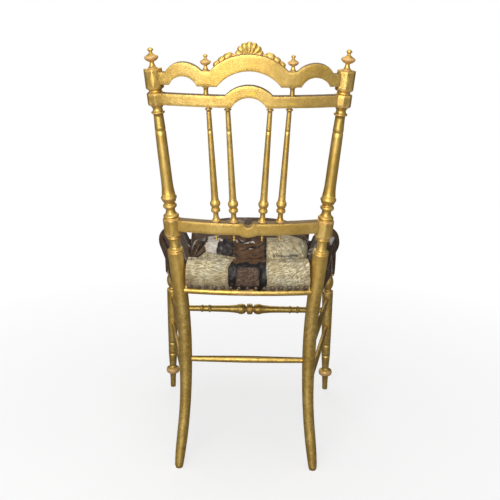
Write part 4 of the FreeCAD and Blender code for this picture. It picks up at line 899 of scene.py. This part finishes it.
short = 0.84 + 0.30 * np.sin(x * 0.13 + z * 0.31)
# Painted shade: black in the troughs of the tucks across the middle of the rear face.
black = np.maximum(black, np.where(rear_face & (np.abs(x) < 33), (-tucks - short) * 3.5, nowhere))
lap = 0.0013 * clamped(cream / 1.6 + 0.5) - 0.0007 * hump(cream, 4.6, 0.9)
seams = 0.0012 * (hump(x, 30, 1.4) + hump(x, 61, 1.4)) * slope
slack = 0.0012 * tucks * slope * ((x > -36) & (x < 62))
raised(seat_pad, lap - seams + slack + 0.0005 * np.sin(x * 0.35 + z * 0.1) * slope * (black > 0))
dapple = 0.35 + 0.07 * clamped((-y - 55) / 60)
dapple += 0.15 * np.exp(-((x + 6) / 38) ** 2 - ((y + 105) / 34) ** 2)
# Painted shadow: a dark band on the cream just under the lower edge of the right flap.
painted_shade = 0.9 * hump(z, 470.5, 3.5) * (np.abs(x + 75) < 26) * slope
patches = {"cream": cream, "white": white, "black": black}
dressed(seat_pad, patches, dapple, painted_shade=painted_shade, wrinkle_turn=0.3)

# Apron and skirts: the hide drawn down over the front and side rails and nailed along their lower
# edges, one strip round three sides of the frame over a thin layer of wadding.
front_face = -0.3700
half_path = np.array([(0.0, front_face), (0.195, front_face), (0.2095, -0.3698), (0.2155, -0.3670),
                      (0.2168, -0.3600), (0.2168, -0.3460), (0.2150, -0.3405), (0.2098, -0.3340),
                      (0.1525, -0.0180)])
path = np.concatenate([half_path[::-1], (half_path * (-1, 1))[1:]])
runs = np.concatenate([[0], np.cumsum(np.linalg.norm(np.diff(path, axis=0), axis=1))])
marks = np.unique(np.concatenate([runs, np.arange(0, runs[-1], 0.005)]))
path = np.column_stack([np.interp(marks, runs, path[:, 0]), np.interp(marks, runs, path[:, 1])])
turned = np.gradient(path, axis=0)
turned /= np.linalg.norm(turned, axis=1, keepdims=True)
outward = np.column_stack([-turned[:, 1], turned[:, 0]])
if outward[len(outward) // 2][1] > 0:
    outward = -outward
hide_thick = 0.0021
front_low, front_top = 0.3262, 0.4090
skirt_low, skirt_rise = 0.3280, 0.0628
rows = []
for point, out in zip(path, outward):
    share = clamped((point[1] + 0.355) / 0.355)
    low_level, top_level = front_low, front_top
    if point[1] >= -0.3395:
        low_level = skirt_low + skirt_rise * share
        radius = 0.031 + 0.007 * (1 - share)
        side_reach = 0.0245 + 0.0035 * (1 - share)
        top_level = 0.422 - 0.007 * (1 - share) - math.sqrt(radius ** 2 - side_reach ** 2) - 0.0006
    levels = np.linspace(low_level, max(top_level, low_level + 0.012), 17)
    swell = 0.0003 + 0.0011 * np.sin(np.linspace(0, math.pi, 17))
    outer = [(*(point + out * bulge), level) for bulge, level in zip(swell, levels)]
    inner = [(*(point - out * hide_thick), level) for level in levels[::-4]]
    rows.append(outer + inner)
rows = np.array(rows)
rows[:, :, 1] += joint_y
apron = closed_grid("apron", rows, marks, np.arange(rows.shape[1] + 1) * 0.0042)
divided(apron)
place = places_of(apron.data)
ripple = np.sin(place[:, 0] * 330 + place[:, 1] * 300)
raised(apron, 0.0003 * ripple * clamped(1 - (place[:, 2] - 0.327) / 0.03))
dressed(apron, dapple=0.42)

# Deck: hide over layers of hessian on the webbing, which carry the rolls and the pad; the hessian is
# seen from underneath.
deck_low, deck_high = 0.3926, 0.3982
deck_plan = np.array([(0.1870, -0.3665), (0.1870, -0.3410), (0.1893, -0.3405), (0.1292, -0.0105),
                      (0.0, 0.0015)])
deck_plan = np.concatenate([deck_plan, (deck_plan * (-1, 1))[-2::-1]])
middle = np.array([0, -0.18])
ring = []
for first, last in zip(deck_plan, np.roll(deck_plan, -1, axis=0)):
    count = max(int(np.linalg.norm(last - first) / 0.008), 1)
    ring += [first + (last - first) * step / count for step in range(count)]
ring = np.array(ring)
rows = []
for level, spread in ((deck_low, 0.05), (deck_low, 0.35), (deck_low, 0.7), (deck_low, 0.985),
                      (deck_low + 0.0004, 1.0), (deck_high - 0.0004, 1.0),
                      (deck_high, 0.99), (deck_high, 0.7), (deck_high, 0.35), (deck_high, 0.05)):
    plan = middle + (ring - middle) * spread
    rows.append(np.column_stack([plan[:, 0], plan[:, 1] + joint_y, np.full(len(plan), level)]))
deck = closed_grid("deck", np.array(rows), np.arange(10) * 0.01, np.arange(len(ring) + 1) * 0.008)


def woven(tree, place, scale, distortion, way):
    """Even waves across the piece, like the threads of a cloth."""
    inputs = {"Vector": place, "Scale": scale, "Distortion": distortion, "Detail": 2.0}
    waves = add_node(tree, "ShaderNodeTexWave", inputs, wave_type="BANDS", bands_direction=way)
    return waves.outputs["Fac"]


hessian, tree, place = new_finish("hessian")
weave = times(tree, woven(tree, place, 170.0, 0.8, "X"), woven(tree, place, 170.0, 0.8, "Y"))
jute = blend_colour(tree, ramp(tree, weave, 0.1, 0.6), (0.055, 0.036, 0.018), (0.30, 0.21, 0.115))
stain = ramp(tree, noise_at(tree, 24, 4, 0.6, place), 0.45, 0.7, 0, 0.5)
jute = blend_colour(tree, stain, jute, (0.10, 0.07, 0.045))
close_finish(tree, jute, weave, 0.6, 0.0005, {"Roughness": 0.9})
dressed(deck, dapple=0.36)
deck.data.materials.append(hessian)
for face in deck.data.polygons:
    face.material_index = int(face.normal.z < 0.5)


def refinished(nodes, material):
    """A wooden, woven or metal piece keeps its shape and gets its finish."""
    for node in nodes:
        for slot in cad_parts[node].material_slots:
            slot.material = material


# Webbing: bands of woven jute, stained with age, stretched across the seat frame under the stuffing
# and nailed to its rails.
banded, tree, place = new_finish("jute webbing")
threads = woven(tree, place, 190.0, 0.6, "DIAGONAL")
jute = blend_colour(tree, ramp(tree, threads, 0.2, 0.8), (0.17, 0.115, 0.06), (0.42, 0.31, 0.18))
stain = ramp(tree, noise_at(tree, 40, 4, 0.6, place), 0.45, 0.7, 0, 0.6)
jute = blend_colour(tree, stain, jute, (0.12, 0.085, 0.05))
close_finish(tree, jute, threads, 0.6, 0.0004, {"Roughness": 0.85})
refinished(["webbing"], banded)

# Stuffing: dark curled horsehair, picked loose and packed on the webbing, under the hide that holds
# it in place.
horsehair, tree, place = new_finish("horsehair")
curl = noise_at(tree, 380, 6, 0.75, place, 2.5)
curled = blend_colour(tree, ramp(tree, curl, 0.35, 0.7), (0.02, 0.013, 0.009), (0.22, 0.16, 0.11))
close_finish(tree, curled, curl, 0.9, 0.0015, {"Roughness": 0.8})
refinished(["seat_stuffing"], horsehair)

# Rails under the hide: sawn beech, left bare since the hide covers it and darkened with age, joined
# to the posts and to the heads of the front legs.
beech, tree, place = new_finish("bare beech")
grain = noise_at(tree, 1.0, 6, 0.7, moved(tree, place, (40, 40, 220)), 0.8)
wood = blend_colour(tree, ramp(tree, grain, 0.35, 0.7), (0.115, 0.062, 0.028), (0.30, 0.185, 0.095))
stain = ramp(tree, noise_at(tree, 12, 4, 0.6, place), 0.5, 0.75, 0, 0.5)
wood = blend_colour(tree, stain, wood, (0.06, 0.035, 0.02))
close_finish(tree, wood, grain, 0.4, 0.0004, {"Roughness": 0.65})
refinished(["seat_rail_front", "seat_rail_right", "seat_rail_left"], beech)

# Cover nails: round-headed brass nails, tarnished to a purplish grey, driven through the edge of the
# hide into the rails.
tarnish, tree, place = new_finish("tarnished brass")
spot = noise_at(tree, 260, 4, 0.6, place)
metal = blend_colour(tree, ramp(tree, spot, 0.40, 0.62), (0.17, 0.125, 0.125), (0.42, 0.30, 0.16))
shine = {"Roughness": ramp(tree, spot, 0.3, 0.7, 0.30, 0.55), "Metallic": 0.85}
close_finish(tree, metal, spot, 0.3, 0.0003, shine)
refinished(["cover_nails"], tarnish)
